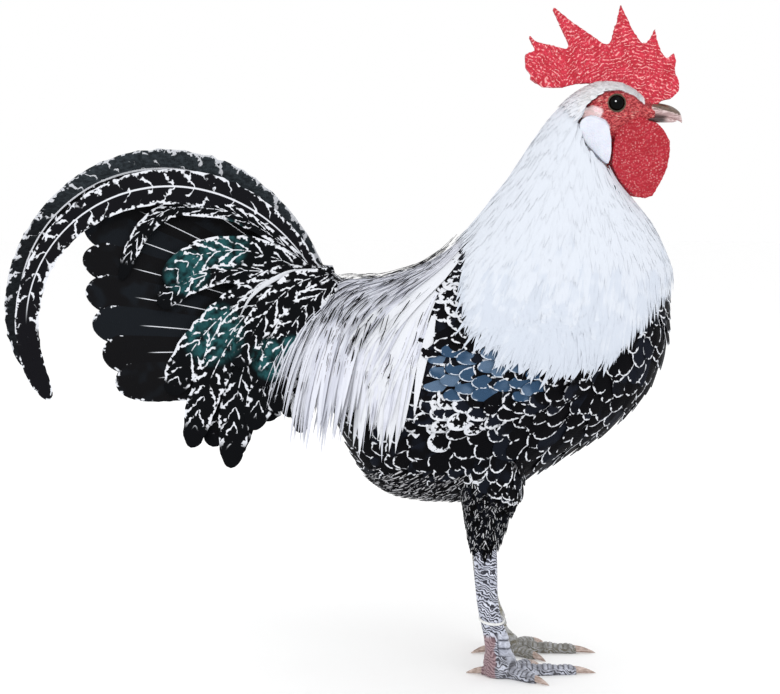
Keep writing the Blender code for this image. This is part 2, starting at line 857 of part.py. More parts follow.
def build_leg_ring():
    """Closed band that hangs loose round the right shank."""
    middle = Vector((72.9 * MM, -25 * MM, RING_Z))
    sections = []
    for i in range(20):
        turn = math.tau * i / 20
        spoke = Vector((math.cos(turn), math.sin(turn), 0))
        sections.append([
            middle + spoke * radius + Vector((0, 0, rise))
            for radius, rise in (
                (RING_BORE, -RING_HEIGHT / 2), (RING_BORE + RING_WALL, -RING_HEIGHT / 2),
                (RING_BORE + RING_WALL, RING_HEIGHT / 2), (RING_BORE, RING_HEIGHT / 2),
            )
        ])
    return swept("leg_ring_right", sections, closed=True)


# The wing's long axis and its half height at even steps along it, in mm.
WING_FRONT = (122, 164)
WING_REAR = (12, 139)
WING_HALF_HEIGHTS = (8, 21, 26, 27, 25, 20, 13, 5)
WING_THICKNESS = 1.8
WING_RIM = 1.3

# Each tier of the wing's feathers: the first and the last root as x and z, their headings as slopes
# of z over x, the count, the length and the width, all lengths in mm.
WING_TIERS = (
    ((76, 125), (64, 157), (-0.03, 0.16), 5, 54, 13),
    ((84, 131), (80, 162), (0.0, 0.2), 4, 32, 15),
    ((105, 137), (104, 165), (0.05, 0.2), 4, 31, 14),
)


def build_wing(name, side, torso, skin):
    """Folded wing: a low pad over the flank with its secondaries and, over their roots, coverts."""
    def on_skin(spot):
        hit, normal, _, _ = skin.ray_cast(Vector((spot.x, side * 90 * MM, spot.z)), Vector((0, -side, 0)))
        return hit, normal

    front, rear = Vector((WING_FRONT[0], 0, WING_FRONT[1])), Vector((WING_REAR[0], 0, WING_REAR[1]))
    across = Vector((0, 1, 0)).cross(front - rear).normalized()
    sections = []
    last = len(WING_HALF_HEIGHTS) - 1
    columns = 7
    for i, half_height in enumerate(WING_HALF_HEIGHTS):
        outer, inner = [], []
        for j in range(columns):
            share = 2 * j / (columns - 1) - 1
            hit, normal = on_skin((front.lerp(rear, i / last) + across * half_height * share) * MM)
            swell = (1 - abs(share) ** 2.5) * min(1, (i + 0.3) / 2, (last - i + 0.3) / 3)
            outer.append(hit + normal * (WING_RIM + WING_THICKNESS * swell) * MM)
            inner.append(hit - normal * 1.2 * MM)
        sections.append(outer + inner[::-1])
    wing = swept(f"wing_{name}", sections)
    cut(wing, swollen(torso))
    ground = tree_of(torso)
    feathers = []
    for first, final, slopes, count, length, width in WING_TIERS:
        feather = Feather(
            length=length * MM, width=width * MM, thickness=1.1 * MM, rows=4, cup=0.08, root_width=0.7,
            roundness=4, sink=-1.1 * MM, tilt=-0.15 * side,
        )
        starts = []
        for i in range(count):
            share = i / (count - 1)
            spot = Vector((first[0], 0, first[1])).lerp(Vector((final[0], 0, final[1])), share) * MM
            slope = slopes[0] + (slopes[1] - slopes[0]) * share
            starts.append((on_skin(spot)[0], Vector((-1, 0, -slope)), feather))
        own = tree_of(wing, *feathers)
        feathers += drape_tier("wing_feather", skin, starts, own, ground)
    return fuse(wing, feathers, solver="MANIFOLD")


SADDLE_SPREAD = 56
SADDLE_RIM = 1.7
SADDLE_SWELL = 1.2


def build_saddle(torso):
    """Thin shield over the lower back, which the saddle hackles grow from."""
    sections = []
    rows, columns = 8, 11
    for i in range(rows):
        place = 0.25 + 4.8 * i / (rows - 1)
        spread = math.radians(SADDLE_SPREAD)
        edge = min(1, (i + 0.4) / 2, (rows - 0.6 - i) / 2)
        outer, inner = [], []
        middle = body_point(TORSO_SECTIONS, place, 0).lerp(body_point(TORSO_SECTIONS, place, math.pi), 0.5)
        for j in range(columns):
            share = 2 * j / (columns - 1) - 1
            point = body_point(TORSO_SECTIONS, place, spread * share)
            out = (point - middle).normalized()
            swell = (1 - abs(share) ** 3) * edge
            outer.append(point + out * (SADDLE_RIM + SADDLE_SWELL * swell) * MM)
            inner.append(point - out * 1.2 * MM)
        sections.append(outer + inner[::-1])
    saddle = swept("saddle", sections)
    cut(saddle, swollen(torso))
    return saddle


def along_keys(keys, share):
    """Value at a share from 0 to 1 along evenly spaced keys."""
    return smooth_value(keys, share * (len(keys) - 1))


# Each tier of the cape: its place up the neck, its count of feathers, their width and how long they
# are at even turns from the nape round to the throat, in mm.
CAPE_TIERS = (
    (0.42, 18, 18, (30, 46, 58, 62, 55, 36, 16)),
    (2.1, 14, 17.5, (44, 48, 54, 56, 50, 40, 34)),
    (3.9, 10, 17, (46, 48, 50, 50, 46, 42, 38)),
    (5.3, 8, 15, (38, 40, 40, 38, 36, 32, 28)),
)
CAPE_LAST_THROAT = 132


def build_cape(neck, surface, torso, wings, saddle):
    """Hackles of the cape, tier over tier, on the core of the neck."""
    ground = tree_of(torso, *wings, saddle)
    feathers = []
    for place, count, width, lengths in CAPE_TIERS:
        top_tier = place > 4
        starts = []
        for i in range(count):
            turn = math.tau * (i / count - 0.5)
            from_nape = abs(turn)
            if top_tier and math.degrees(from_nape) > CAPE_LAST_THROAT:
                continue
            inset = cape_inset(place)
            root = body_point(NECK_SECTIONS, place, turn, inset)
            heading = body_point(NECK_SECTIONS, max(0, place - 0.4), turn, inset) - root
            starts.append((root, heading, Feather(
                length=along_keys(lengths, from_nape / math.pi) * rng.uniform(0.96, 1.04) * MM,
                width=width * MM, thickness=1.15 * MM, rows=4, cup=0.14, root_width=0.55,
                roundness=2.6, sink=0.9 * MM, tilt=0.13, pull=4.0,
            )))
        own = tree_of(neck, *feathers)
        feathers += drape_tier("cape_hackle", surface, starts, own, ground, closed=not top_tier)
    return fuse(neck, feathers, solver="MANIFOLD")


# Each tier of saddle hackles: its place along the trunk, and its feathers' turns round from the back
# and lengths in mm. The middle ones end at the tail, the outer ones fall outside it.
SADDLE_TIERS = (
    (0.5, (43, 55), (56, 62)),
    (1.9, (8, 22), (17, 24)),
    (1.7, (38, 53), (64, 74)),
    (3.5, (8, 22), (33, 42)),
    (3.1, (37, 52), (72, 80)),
    (4.5, (40, 53), (72, 60)),
)
SADDLE_FALL = 1.15


def build_saddle_hackles(saddle, surface, ground):
    """Long pointed hackles that fall from the saddle over the wing tips and the flanks."""
    feathers = []
    for place, turns, lengths in SADDLE_TIERS:
        own = tree_of(saddle, *feathers)
        for side in SIDES.values():
            starts = []
            for turn, length in zip(turns, lengths):
                root = body_point(TORSO_SECTIONS, place, side * math.radians(turn))
                fall = math.radians(turn * SADDLE_FALL)
                starts.append((root, Vector((-math.cos(fall), side * 0.15, -math.sin(fall))), Feather(
                    length=length * rng.uniform(0.96, 1.04) * MM, width=12.5 * MM,
                    thickness=1.1 * MM, rows=4, cup=0.12, root_width=0.6, roundness=1.8,
                    sink=-1.3 * MM, tilt=-0.12 * side, pull=10.0,
                )))
            feathers += drape_tier("saddle_hackle", surface, starts, own, ground)
    return fuse(saddle, feathers, solver="MANIFOLD")


RECTRICES = 6


def build_tail_fan(name, side):
    """One side of the main tail: stiff broad feathers, each lying outside the one above it."""
    fan = pad(f"tail_fan_{name}", side, 0.15, 8, 142, 184, 12)
    vanes = []
    for i in range(RECTRICES):
        share = i / (RECTRICES - 1)
        plume = Plume(
            root=(-11, 2.2 + 3.8 * share, 176 - 25 * share), rise=27 - 27 * share, turn=10 - 3 * share, bow=1,
            length=126 - 24 * share ** 1.5, width=25, splay=2 + 5 * share, roll=7, rows=5,
            roundness=8, thickness=1.2,
        )
        vanes.append(plume_vane("rectrix", plume, side))
    return fuse(fan, vanes)


SICKLES = {
    "right": Plume((-9.5, 5.2, 188), 68.3, 192.5, 1.11, 249, 15, 4.5, 12, 11, 6, 1.7),
    "left": Plume((-9.5, 5.2, 188), 66.3, 180.8, 1.2, 245, 14.5, 4.5, 12, 11, 6, 1.7),
}
SICKLE_SPLIT = 0.42


def build_sickle(name, side):
    """One main sickle, parted at its crest."""
    plume = SICKLES[name]
    base = pad(f"sickle_{name}_base", side, 0.15, 6.6, 184.3, 190.6, 8)
    low = plume_vane("sickle", plume, side, 0, SICKLE_SPLIT)
    fuse(base, [low])
    gap = GAP / (plume.length * MM)
    tip = plume_vane(f"sickle_{name}_tip", plume, side, SICKLE_SPLIT + gap, 1)
    return base, tip


UPPER_COVERTS = (
    Plume((-9.5, 10.2, 176), 59.6, 155.5, 1.79, 146, 14, 9.0, 8, 7, 4),
    Plume((-9.5, 10.7, 173), 78, 133, 1.04, 104, 14, 10.5, 8, 6, 4),
    Plume((-9.5, 11.0, 168), 58, 128, 1.0, 104, 14, 11.5, 8, 6, 4),
    Plume((-9.5, 11.2, 162), 40, 105, 1.0, 96, 14, 12.5, 8, 5, 4),
    Plume((-9.5, 11.2, 156), 16, 75, 1.0, 86, 14, 13.5, 8, 5, 4),
)
HANGING_COVERTS = (
    Plume((-9.5, 16.2, 170), 60, 195, 0.85, 130, 15, 15, 8, 7, 4),
    Plume((-9.5, 16.8, 168), 71, 200, 0.79, 149, 15, 17, 8, 7, 4),
    Plume((-9.5, 17.2, 166), 65, 200, 0.7, 134, 15, 19, 8, 7, 4),
    Plume((-9.5, 17.4, 162), 60, 165, 0.49, 74, 14, 21, 8, 5, 4),
    Plume((-9.5, 17.4, 157), 20, 115, 0.5, 58, 13, 23, 8, 5, 4),
)


def build_tail_coverts(name, side):
    """Curved plumes beside the main tail: one group arching back, one hanging."""
    upper = pad(f"tail_coverts_upper_{name}", side, 8.3, 13.6, 147, 181, 10)
    fuse(upper, [plume_vane("covert", plume, side) for plume in UPPER_COVERTS])
    hanging = pad(f"tail_coverts_hanging_{name}", side, 13.9, 20.4, 151, 175, 9)
    fuse(hanging, [plume_vane("covert", plume, side) for plume in HANGING_COVERTS])
    return upper, hanging


FINISHES = {
    # first word of the node's name: colour, roughness
    "torso": ((0.035, 0.036, 0.042), 0.6),
    "neck": ((0.83, 0.83, 0.83), 0.65),
    "head": ((0.52, 0.03, 0.035), 0.5),
    "comb": ((0.56, 0.02, 0.03), 0.45),
    "wattle": ((0.56, 0.02, 0.03), 0.45),
    "earlobe": ((0.8, 0.82, 0.86), 0.55),
    "eye": ((0.02, 0.012, 0.01), 0.08),
    "bill": ((0.36, 0.33, 0.32), 0.4),
    "wing": ((0.05, 0.06, 0.08), 0.55),
    "saddle": ((0.75, 0.74, 0.73), 0.65),
    "tail": ((0.015, 0.016, 0.018), 0.45),
    "sickle": ((0.02, 0.024, 0.027), 0.4),
    "thigh": ((0.16, 0.16, 0.17), 0.7),
    "shank": ((0.34, 0.36, 0.42), 0.55),
    "foot": ((0.3, 0.31, 0.34), 0.55),
    "claw": ((0.42, 0.34, 0.28), 0.4),
    "leg": ((0.85, 0.85, 0.85), 0.4),
}


def finish(items):
    """Give each piece its material and put it in the model's collection."""
    model = bpy.data.collections.new(MODEL)
    bpy.context.scene.collection.children.link(model)
    for item in items:
        colour, roughness = FINISHES[item.name.split("_")[0]]
        material = bpy.data.materials.new(item.name)
        material.use_nodes = True
        shader = material.node_tree.nodes["Principled BSDF"]
        shader.inputs["Base Color"].default_value = (*colour, 1)
        shader.inputs["Roughness"].default_value = roughness
        shader.inputs["Metallic"].default_value = 0
        item.data.materials.clear()
        item.data.materials.append(material)
        item.data.shade_smooth()
        item.data.set_sharp_from_angle(angle=math.radians(40))
        bpy.context.scene.collection.objects.unlink(item)
        model.objects.link(item)


def main():
    """Model the whole bird."""
    for item in list(bpy.data.objects):
        bpy.data.objects.remove(item)
    torso = build_torso()
    neck = build_neck()
    torso_guide = guide(TORSO_SECTIONS, 0, len(TORSO_SECTIONS) - 1, lambda place: 0.0)
    neck_guide = guide(NECK_SECTIONS, 0, len(NECK_SECTIONS) - 1, cape_inset)
    torso_skin = BVHTree.FromPolygons(*torso_guide)
    body_skin = BVHTree.FromPolygons(*joined_guides(torso_guide, neck_guide))
    parts = [torso, neck]
    upper_bill, lower_bill = build_bills()
    eyes = build_eyes()
    head = build_head(eyes)
    comb = build_comb(head, upper_bill)
    parts += [upper_bill, lower_bill, head, comb, *eyes]
    for name, side in SIDES.items():
        parts.append(build_wattle(name, side, head, neck, lower_bill))
        parts.append(build_earlobe(name, side, head, neck))
        parts += build_leg(name, side, torso)
        foot, claws = build_foot(name, side)
        parts += [foot, *claws]
        parts.append(build_wing(name, side, torso, torso_skin))
        parts.append(build_tail_fan(name, side))
        parts += build_sickle(name, side)
        parts += build_tail_coverts(name, side)
    parts.append(build_leg_ring())
    wings = [part for part in parts if part.name.startswith("wing")]
    tail = [part for part in parts if part.name.startswith(("tail", "sickle"))]
    saddle = build_saddle(torso)
    build_saddle_hackles(saddle, torso_skin, tree_of(torso, *wings, *tail))
    build_cape(neck, body_skin, torso, wings, saddle)
    parts.append(saddle)
    finish(parts)


main()
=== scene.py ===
"""Looks of a standing silver Brakel bantam cock at life size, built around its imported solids.

The bird faces +X with +Z up, and its right side, at -Y, faces the camera. One skin carries the
flesh, and every feather is a thin closed vane of its own, laid along the body from the tail
forward and joined into a few coats.
"""

import json
import logging
import random
from dataclasses import dataclass, field
from enum import Enum
from functools import reduce
from math import atan2, copysign, cos, degrees, hypot, pi, radians, sin, tau
from typing import Callable, Optional, Sequence

import bmesh
import bpy
import numpy as np
from mathutils import Matrix, Vector, noise
from mathutils.bvhtree import BVHTree

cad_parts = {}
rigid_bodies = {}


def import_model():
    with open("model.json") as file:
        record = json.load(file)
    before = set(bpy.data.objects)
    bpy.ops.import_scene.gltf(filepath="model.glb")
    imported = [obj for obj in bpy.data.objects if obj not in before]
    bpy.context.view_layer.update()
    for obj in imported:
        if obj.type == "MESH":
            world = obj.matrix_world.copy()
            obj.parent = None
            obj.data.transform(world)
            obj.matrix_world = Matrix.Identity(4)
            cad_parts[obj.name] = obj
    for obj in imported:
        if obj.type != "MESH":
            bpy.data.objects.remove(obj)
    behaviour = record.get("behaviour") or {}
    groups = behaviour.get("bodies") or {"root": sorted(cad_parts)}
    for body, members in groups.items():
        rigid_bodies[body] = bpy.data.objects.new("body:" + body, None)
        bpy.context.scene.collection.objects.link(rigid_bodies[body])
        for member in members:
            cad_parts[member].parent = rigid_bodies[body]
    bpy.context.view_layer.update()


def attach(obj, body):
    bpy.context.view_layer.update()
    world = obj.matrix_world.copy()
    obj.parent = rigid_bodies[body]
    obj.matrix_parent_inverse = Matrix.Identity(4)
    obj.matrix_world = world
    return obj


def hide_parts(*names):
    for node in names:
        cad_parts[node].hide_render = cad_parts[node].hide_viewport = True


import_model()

log = logging.getLogger("cock")

MM = 0.001
SEED = 20
DOWN = Vector((0, 0, -1))
SIDES = {"right": -1, "left": 1}

# Forms of the tables below, and short names of the kinds of things that are made.
Row = tuple[float, ...]
Table = tuple[Row, ...]
Pair = tuple[float, float]
Triple = tuple[float, float, float]
Knots = tuple[Pair, ...]
Track = tuple[list[Vector], list[Vector]]
Socket, Material, Mesh, Shape = bpy.types.NodeSocket, bpy.types.Material, bpy.types.Mesh, bmesh.types.BMesh

# Sections across the body from the tail to the bill: back point x and z, belly point x and z,
# half width, all in mm. The trunk fans out from the nape, and the neck and the head follow.
BODY_SECTIONS: Table = (
    (-6, 191.5, -6, 134, 24), (1, 193.5, -3, 124, 28), (15, 193.5, 10, 99, 37),
    (28, 196, 30, 87, 42), (40, 200, 53, 85, 46), (51, 207, 78, 89, 47.5),
    (58, 213.5, 106, 104, 48), (59.5, 215, 134, 121.5, 47.5), (60.5, 216, 152.5, 142, 46),
    (61.5, 217, 161.5, 167, 43.5), (62.5, 218, 161.5, 193, 41), (70, 227, 161, 200, 39),
    (76, 235, 159, 206.5, 36.3), (82.6, 243, 156.5, 213, 33), (89.9, 254, 151.5, 223, 28.5),
    (97.3, 265, 143.5, 233.5, 24.5), (105.2, 275.3, 134, 246, 20), (113, 283.2, 129, 259, 15.8),
    (119.5, 288.6, 133, 263, 15.8), (127, 292, 137, 266.4, 15.2), (134.5, 292.4, 142, 268.8, 13.8),
    (141.5, 290, 146.8, 270.6, 11.4), (148, 285.4, 150, 272, 8.4), (153.4, 281.4, 153.4, 273.2, 5.4),
)
BODY_END = 23
BODY_FULLNESS = 2.25
COAT_DEPTH = 3.0
CAPE_DEPTH = 4.0

# Sections across a leg from the top down: height, x, half length, y without its side and half
# width, in mm. LEG_FORWARD is how far each leg is set forward.
THIGH_SECTIONS: Table = (
    (126, 72, 13, 26, 10), (106, 73, 15, 26.5, 12.5), (92, 72.8, 14.5, 26, 12),
    (84, 71.6, 12, 25.6, 10.2), (76, 70.6, 9.8, 25.2, 8.2), (68, 69.8, 7.6, 25, 6.6),
    (61, 69.6, 5.8, 25, 5.6),
)
LEG_FORWARD = {"right": 0.0, "left": 4.0}


def smooth_value(keys: Sequence[float], place: float) -> float:
    """Value at a place along evenly spaced keys, on a curve that never overshoots them.

    Args:
        keys: Values at the places 0, 1, 2 and so on.
        place: Where to read the curve.

    Returns:
        The value there.
    """
    last = len(keys) - 1
    place = min(max(place, 0.0), float(last))
    index = min(int(place), last - 1)
    part = place - index

    def step(i: int) -> float:
        return keys[i + 1] - keys[i]

    def slope(i: int) -> float:
        before, after = step(max(i - 1, 0)), step(min(i, last - 1))
        return 2 * before * after / (before + after) if before * after > 0 else 0.0

    square, cube = part * part, part ** 3
    return (
        keys[index] * (2 * cube - 3 * square + 1) + keys[index + 1] * (3 * square - 2 * cube)
        + slope(index) * (cube - 2 * square + part) + slope(index + 1) * (cube - square)
    )


def section(rows: Sequence[Row], place: float) -> list[float]:
    """Numbers of a row of sections at a place along them."""
    return [smooth_value(column, place) for column in zip(*rows)]


def ease(low: float, high: float, value: float) -> float:
    """Smooth step from 0 at low to 1 at high."""
    share = min(max((value - low) / (high - low), 0.0), 1.0)
    return share * share * (3 - 2 * share)


def power(value: float, exponent: float) -> float:
    """A power that keeps the sign of its base."""
    return copysign(abs(value) ** exponent, value)


def at_knots(knots: Sequence[Pair], value: float) -> float:
    """Straight-line value between knots of place and value, in rising order of place."""
    return float(np.interp(value, [knot[0] for knot in knots], [knot[1] for knot in knots]))


@dataclass(frozen=True)
class BodyForm:
    """The body as sections across it, with points read by place along it and turn round it."""

    columns: Table = tuple(zip(*BODY_SECTIONS))

    def point(self, place: float, turn: float, inset: float = 0.0) -> Vector:
        """Point on the body.

        Args:
            place: Place along the sections, 0 at the tail.
            turn: Turn in radians from the back, positive to the bird's left.
            inset: Depth under the outline, in mm.

        Returns:
            The point, in metres.
        """
        back_x, back_z, belly_x, belly_z, half_width = (
            smooth_value(column, place) for column in self.columns
        )
        back, belly = Vector((back_x, 0, back_z)), Vector((belly_x, 0, belly_z))
        up = (back - belly).normalized()
        rise = power(cos(turn), 2 / BODY_FULLNESS) * ((back - belly).length / 2 - inset)
        out = power(sin(turn), 2 / BODY_FULLNESS) * (half_width - inset)
        return ((back + belly) / 2 + up * rise + Vector((0, out, 0))) * MM

    def skin_inset(self, place: float) -> float:
        """Depth of the skin under the outline of the coat, in mm."""
        cape = ease(9.5, 11.5, place) * (CAPE_DEPTH - COAT_DEPTH)
        bare = ease(16.2, 18.2, place)
        return (COAT_DEPTH + cape) * (1 - bare)


BODY = BodyForm()


class Guide:
    """A surface that feathers are laid along."""

    def __init__(self, point_at: Callable[[float, float], Vector], first: float, last: float,
                 along: int = 90, around: int = 96) -> None:
        """Sample a surface that closes round the body.

        Args:
            point_at: Point at a place along the body and a turn round it.
            first: First place.
            last: Last place.
            along: Count of steps between them.
            around: Count of points round the body.
        """
        points, faces = [], []
        for row in range(along + 1):
            place = first + (last - first) * row / along
            points += [point_at(place, tau * i / around) for i in range(around)]
        for row in range(along):
            for i in range(around):
                j = (i + 1) % around
                low, high = row * around, (row + 1) * around
                faces.append((low + i, high + i, high + j, low + j))
        self.tree = BVHTree.FromPolygons(points, faces)

    def nearest(self, point: Vector) -> tuple[Vector, Vector]:
        """Nearest point of the surface, and the way out from there."""
        place, normal, _, _ = self.tree.find_nearest(point)
        return place, normal

    def walk(self, root: Vector, heading: Vector, length: float, steps: int, pull: float,
             underside: float = -0.3) -> Track:
        """Path that follows the surface, and hangs free where it leaves that.

        Args:
            root: Where the path starts.
            heading: Its first direction.
            length: Its length in metres.
            steps: Count of even steps.
            pull: How strongly it bends down, for each metre.
            underside: How far down the surface may face before the path leaves it.

        Returns:
            The points of the path and the ways out at each.
        """
        place, normal = self.nearest(root)
        heading = (heading - normal * heading.dot(normal)).normalized()
        points, normals = [place], [normal]
        free = False
        stride = length / steps
        for _ in range(steps):
            place = place + heading * stride
            heading = heading + DOWN * pull * stride
            if not free:
                spot, turned = self.nearest(place)
                if turned.z < underside or (spot - place).length > stride / 2:
                    free = True
                else:
                    place, normal = spot, turned
            if free:
                heading = heading.normalized()
                normal = (normal - heading * normal.dot(heading)).normalized()
            else:
                heading = (heading - normal * heading.dot(normal)).normalized()
            points.append(place)
            normals.append(normal)
        return points, normals


def at_shares(points: Sequence[Vector], shares: Sequence[float]) -> list[Vector]:
    """Points at shares of a path whose points are evenly spaced."""
    last = len(points) - 1
    picks = []
    for share in shares:
        index = min(int(last * share), last - 1)
        picks.append(points[index].lerp(points[index + 1], last * share - index))
    return picks


class Outline(Enum):
    """How the width of a vane runs from its root to its tip."""

    LANCET = "narrow, tapered to a fine point"
    SCALE = "broad and round"
    BLADE = "even width with a rounded end"
    SICKLE = "broad in its middle, with a narrower rounded end"

    def width(self, share: float) -> float:
        """Width at a share of the length, as a part of the full width."""
        if self is Outline.LANCET:
            return (0.45 + 0.55 * min(1.0, share / 0.25)) * max(0.0, 1 - share ** 2.2) ** 0.8
        if self is Outline.SCALE:
            return (0.5 + 0.5 * min(1.0, share / 0.45)) * max(0.0, 1 - share ** 4) ** 0.5
        slim = 1 - 0.3 * ease(0.43, 0.72, share) if self is Outline.SICKLE else 1.0
        blunt = 24 if self is Outline.SICKLE else 10
        return slim * (0.4 + 0.6 * min(1.0, share / 0.3)) * max(0.0, 1 - share ** blunt) ** 0.5


@dataclass(frozen=True)
class Vane:
    """Size and form of one kind of feather, in mm, with its rows bunched towards its tip."""

    outline: Outline
    rows: int
    thickness: float = 0.3
    cup: float = 0.12
    patch: float = 0.003
    ragged: float = 0.0
    bunch: float = 1.0


class Coat:
    """Collects thin closed vanes and joins them into one piece.

    A vane has a row of four points at each place along it: both edges and the ridge of each face.
    The map Vane holds the place across and along each vane. The attributes tone, edge, mark and
    reach hold a random number, the distance from the vane's edge in mm, how white the vane is, and
    the distance from its root in mm. On the cape, tone grows towards the lower fringe instead, which
    paints shade there.
    """

    def __init__(self, name: str, soft: bool = False, lean: float = 0.5) -> None:
        """Start an empty coat.

        Args:
            name: Name of the piece.
            soft: Whether it is shaded as one soft surface, with its vanes only hinted at.
            lean: How strongly they are hinted at.
        """
        self.name = name
        self.soft = soft
        self.lean = lean
        self.points: list[Vector] = []
        self.faces: list[tuple[int, ...]] = []
        self.normals: list[Vector] = []
        self.vane_uv: list[Pair] = []
        self.bake_uv: list[Pair] = []
        self.values: list[Row] = []

    def add(self, vane: Vane, spine: Sequence[Vector], outs: Sequence[Vector], width: float,
            chart: Pair, tone: float, mark: float = 0.0, tilt: float = 0.0,
            cell: Optional[Pair] = None, flip: bool = False) -> None:
        """Add one feather.

        Args:
            vane: Its kind.
            spine: Points at even steps along its shaft, with the tip last.
            outs: Ways out of the body at those points.
            width: Its full width in mm.
            chart: Place of its root on the unwrap of the skin.
            tone: Its number from 0 to 1, random, or on the cape larger low down for painted shade.
            mark: Its marking.
            tilt: Turn about its shaft, in radians.
            cell: Size of its patch on the unwrap, where that isn't the kind's own.
            flip: Whether the map Vane runs the other way across it.
        """
        start = len(self.points)
        rows = vane.rows
        length = sum((b - a).length for a, b in zip(spine, spine[1:])) / MM
        shares = [1 - (1 - i / rows) ** vane.bunch for i in range(rows + 1)]
        spine, outs = at_shares(spine, shares), at_shares(outs, shares)
        patch = cell or (vane.patch, vane.patch)
        turn_cos, turn_sin = cos(tilt), sin(tilt)
        before = outs[0]
        for i in range(rows):
            share = shares[i]
            along = (spine[i + 1] - spine[max(i - 1, 0)]).normalized()
            out = (outs[i] + before).normalized()
            soft = out
            out = before = (out - along * out.dot(along)).normalized()
            across = along.cross(out)
            out, across = out * turn_cos + across * turn_sin, across * turn_cos - out * turn_sin
            half = width * vane.outline.width(share) * MM / 2
            nicks = [1 + vane.ragged * noise.noise(Vector((tone * 90, share * length / 3.5, edge_seed)))
                     for edge_seed in (0, 7)]
            ridge = out * (vane.thickness * MM / 2)
            fall = out * half * vane.cup
            lean = across * self.lean
            self.normals += [(soft - lean).normalized(), soft, (soft + lean).normalized(), -soft]
            self.points += [spine[i] - across * half * nicks[0] - fall, spine[i] + ridge,
                            spine[i] + across * half * nicks[1] - fall, spine[i] - ridge]
            middle = min(half / MM, length * (1 - share))
            for u, edge in ((0.0, 0.0), (0.5, middle), (1.0, 0.0), (0.5, middle)):
                self.vane_uv.append((1 - u if flip else u, share))
                self.bake_uv.append((chart[0] + (u - 0.5) * patch[0], chart[1] + (share - 0.5) * patch[1]))
                self.values.append((tone, edge, mark, share * length))
        self.points.append(spine[rows])
        self.normals.append(outs[rows])
        self.vane_uv.append((0.5, 1.0))
        self.bake_uv.append((chart[0], chart[1] + patch[1] / 2))
        self.values.append((tone, 0.0, mark, length))
        for i in range(rows - 1):
            low, high = start + 4 * i, start + 4 * i + 4
            for k in range(4):
                j = (k + 1) % 4
                self.faces.append((low + k, low + j, high + j, high + k))
        tip = start + 4 * rows
        low = tip - 4
        self.faces += [(low + k, low + (k + 1) % 4, tip) for k in range(4)]
        self.faces.append((start + 3, start + 2, start + 1, start))

    def finish(self, plumage: "Plumage", slot: str, *replaced: str) -> None:
        """Join the vanes into one piece that rides on the bird.

        Args:
            plumage: Its finish.
            slot: The record's material slot.
            replaced: Names of the CAD nodes that it stands for.
        """
        mesh = bpy.data.meshes.new(self.name)
        mesh.from_pydata(self.points, [], self.faces)
        corners = np.empty(len(mesh.loops), np.int32)
        mesh.loops.foreach_get("vertex_index", corners)
        for title, values in (("Vane", self.vane_uv), ("OFBake", self.bake_uv)):
            layer = mesh.uv_layers.new(name=title)
            layer.data.foreach_set("uv", np.asarray(values, np.float32)[corners].ravel())
        for title, values in zip(("tone", "edge", "mark", "reach"), zip(*self.values)):
            keep_number(mesh, title, values)
        mesh.shade_smooth()
        if self.soft:
            mesh.normals_split_custom_set_from_vertices(self.normals)
        else:
            mesh.set_sharp_from_angle(angle=radians(100))
        mesh.materials.append(plumage.material())
        seat(mesh, slot, *replaced)


def keep_number(mesh: Mesh, name: str, values: Sequence[float]) -> None:
    """Keep a number for each point of a mesh."""
    attribute = mesh.attributes.new(name, "FLOAT", "POINT")
    attribute.data.foreach_set("value", np.asarray(values, np.float32))


def put(name: str, data: bpy.types.ID) -> bpy.types.Object:
    """Put a new object into the scene."""
    item = bpy.data.objects.new(name, data)
    bpy.context.scene.collection.objects.link(item)
    return item


def seat(mesh: Mesh, slot: str, *names: str) -> None:
    """Put a mesh into the scene as a piece that rides on the bird.

    Args:
        mesh: The mesh, with its place in it.
        slot: The record's material slot, which is not used.
        names: Names of the CAD nodes that it stands for.
    """
    piece = put(mesh.name, mesh)
    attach(piece, "root")
    if names:
        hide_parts(*names)
    log.info("%s: %d triangles", piece.name, sum(len(face.vertices) - 2 for face in mesh.polygons))


def dressed(mesh: Mesh, material: Material) -> Mesh:
    """A mesh shaded smooth, with one material."""
    mesh.shade_smooth()
    mesh.materials.clear()
    mesh.materials.append(material)
    return mesh


def opaque(colour: object) -> object:
    """A colour with its fourth number, or a socket as it is."""
    return (*colour, 1.0) if isinstance(colour, tuple) else colour


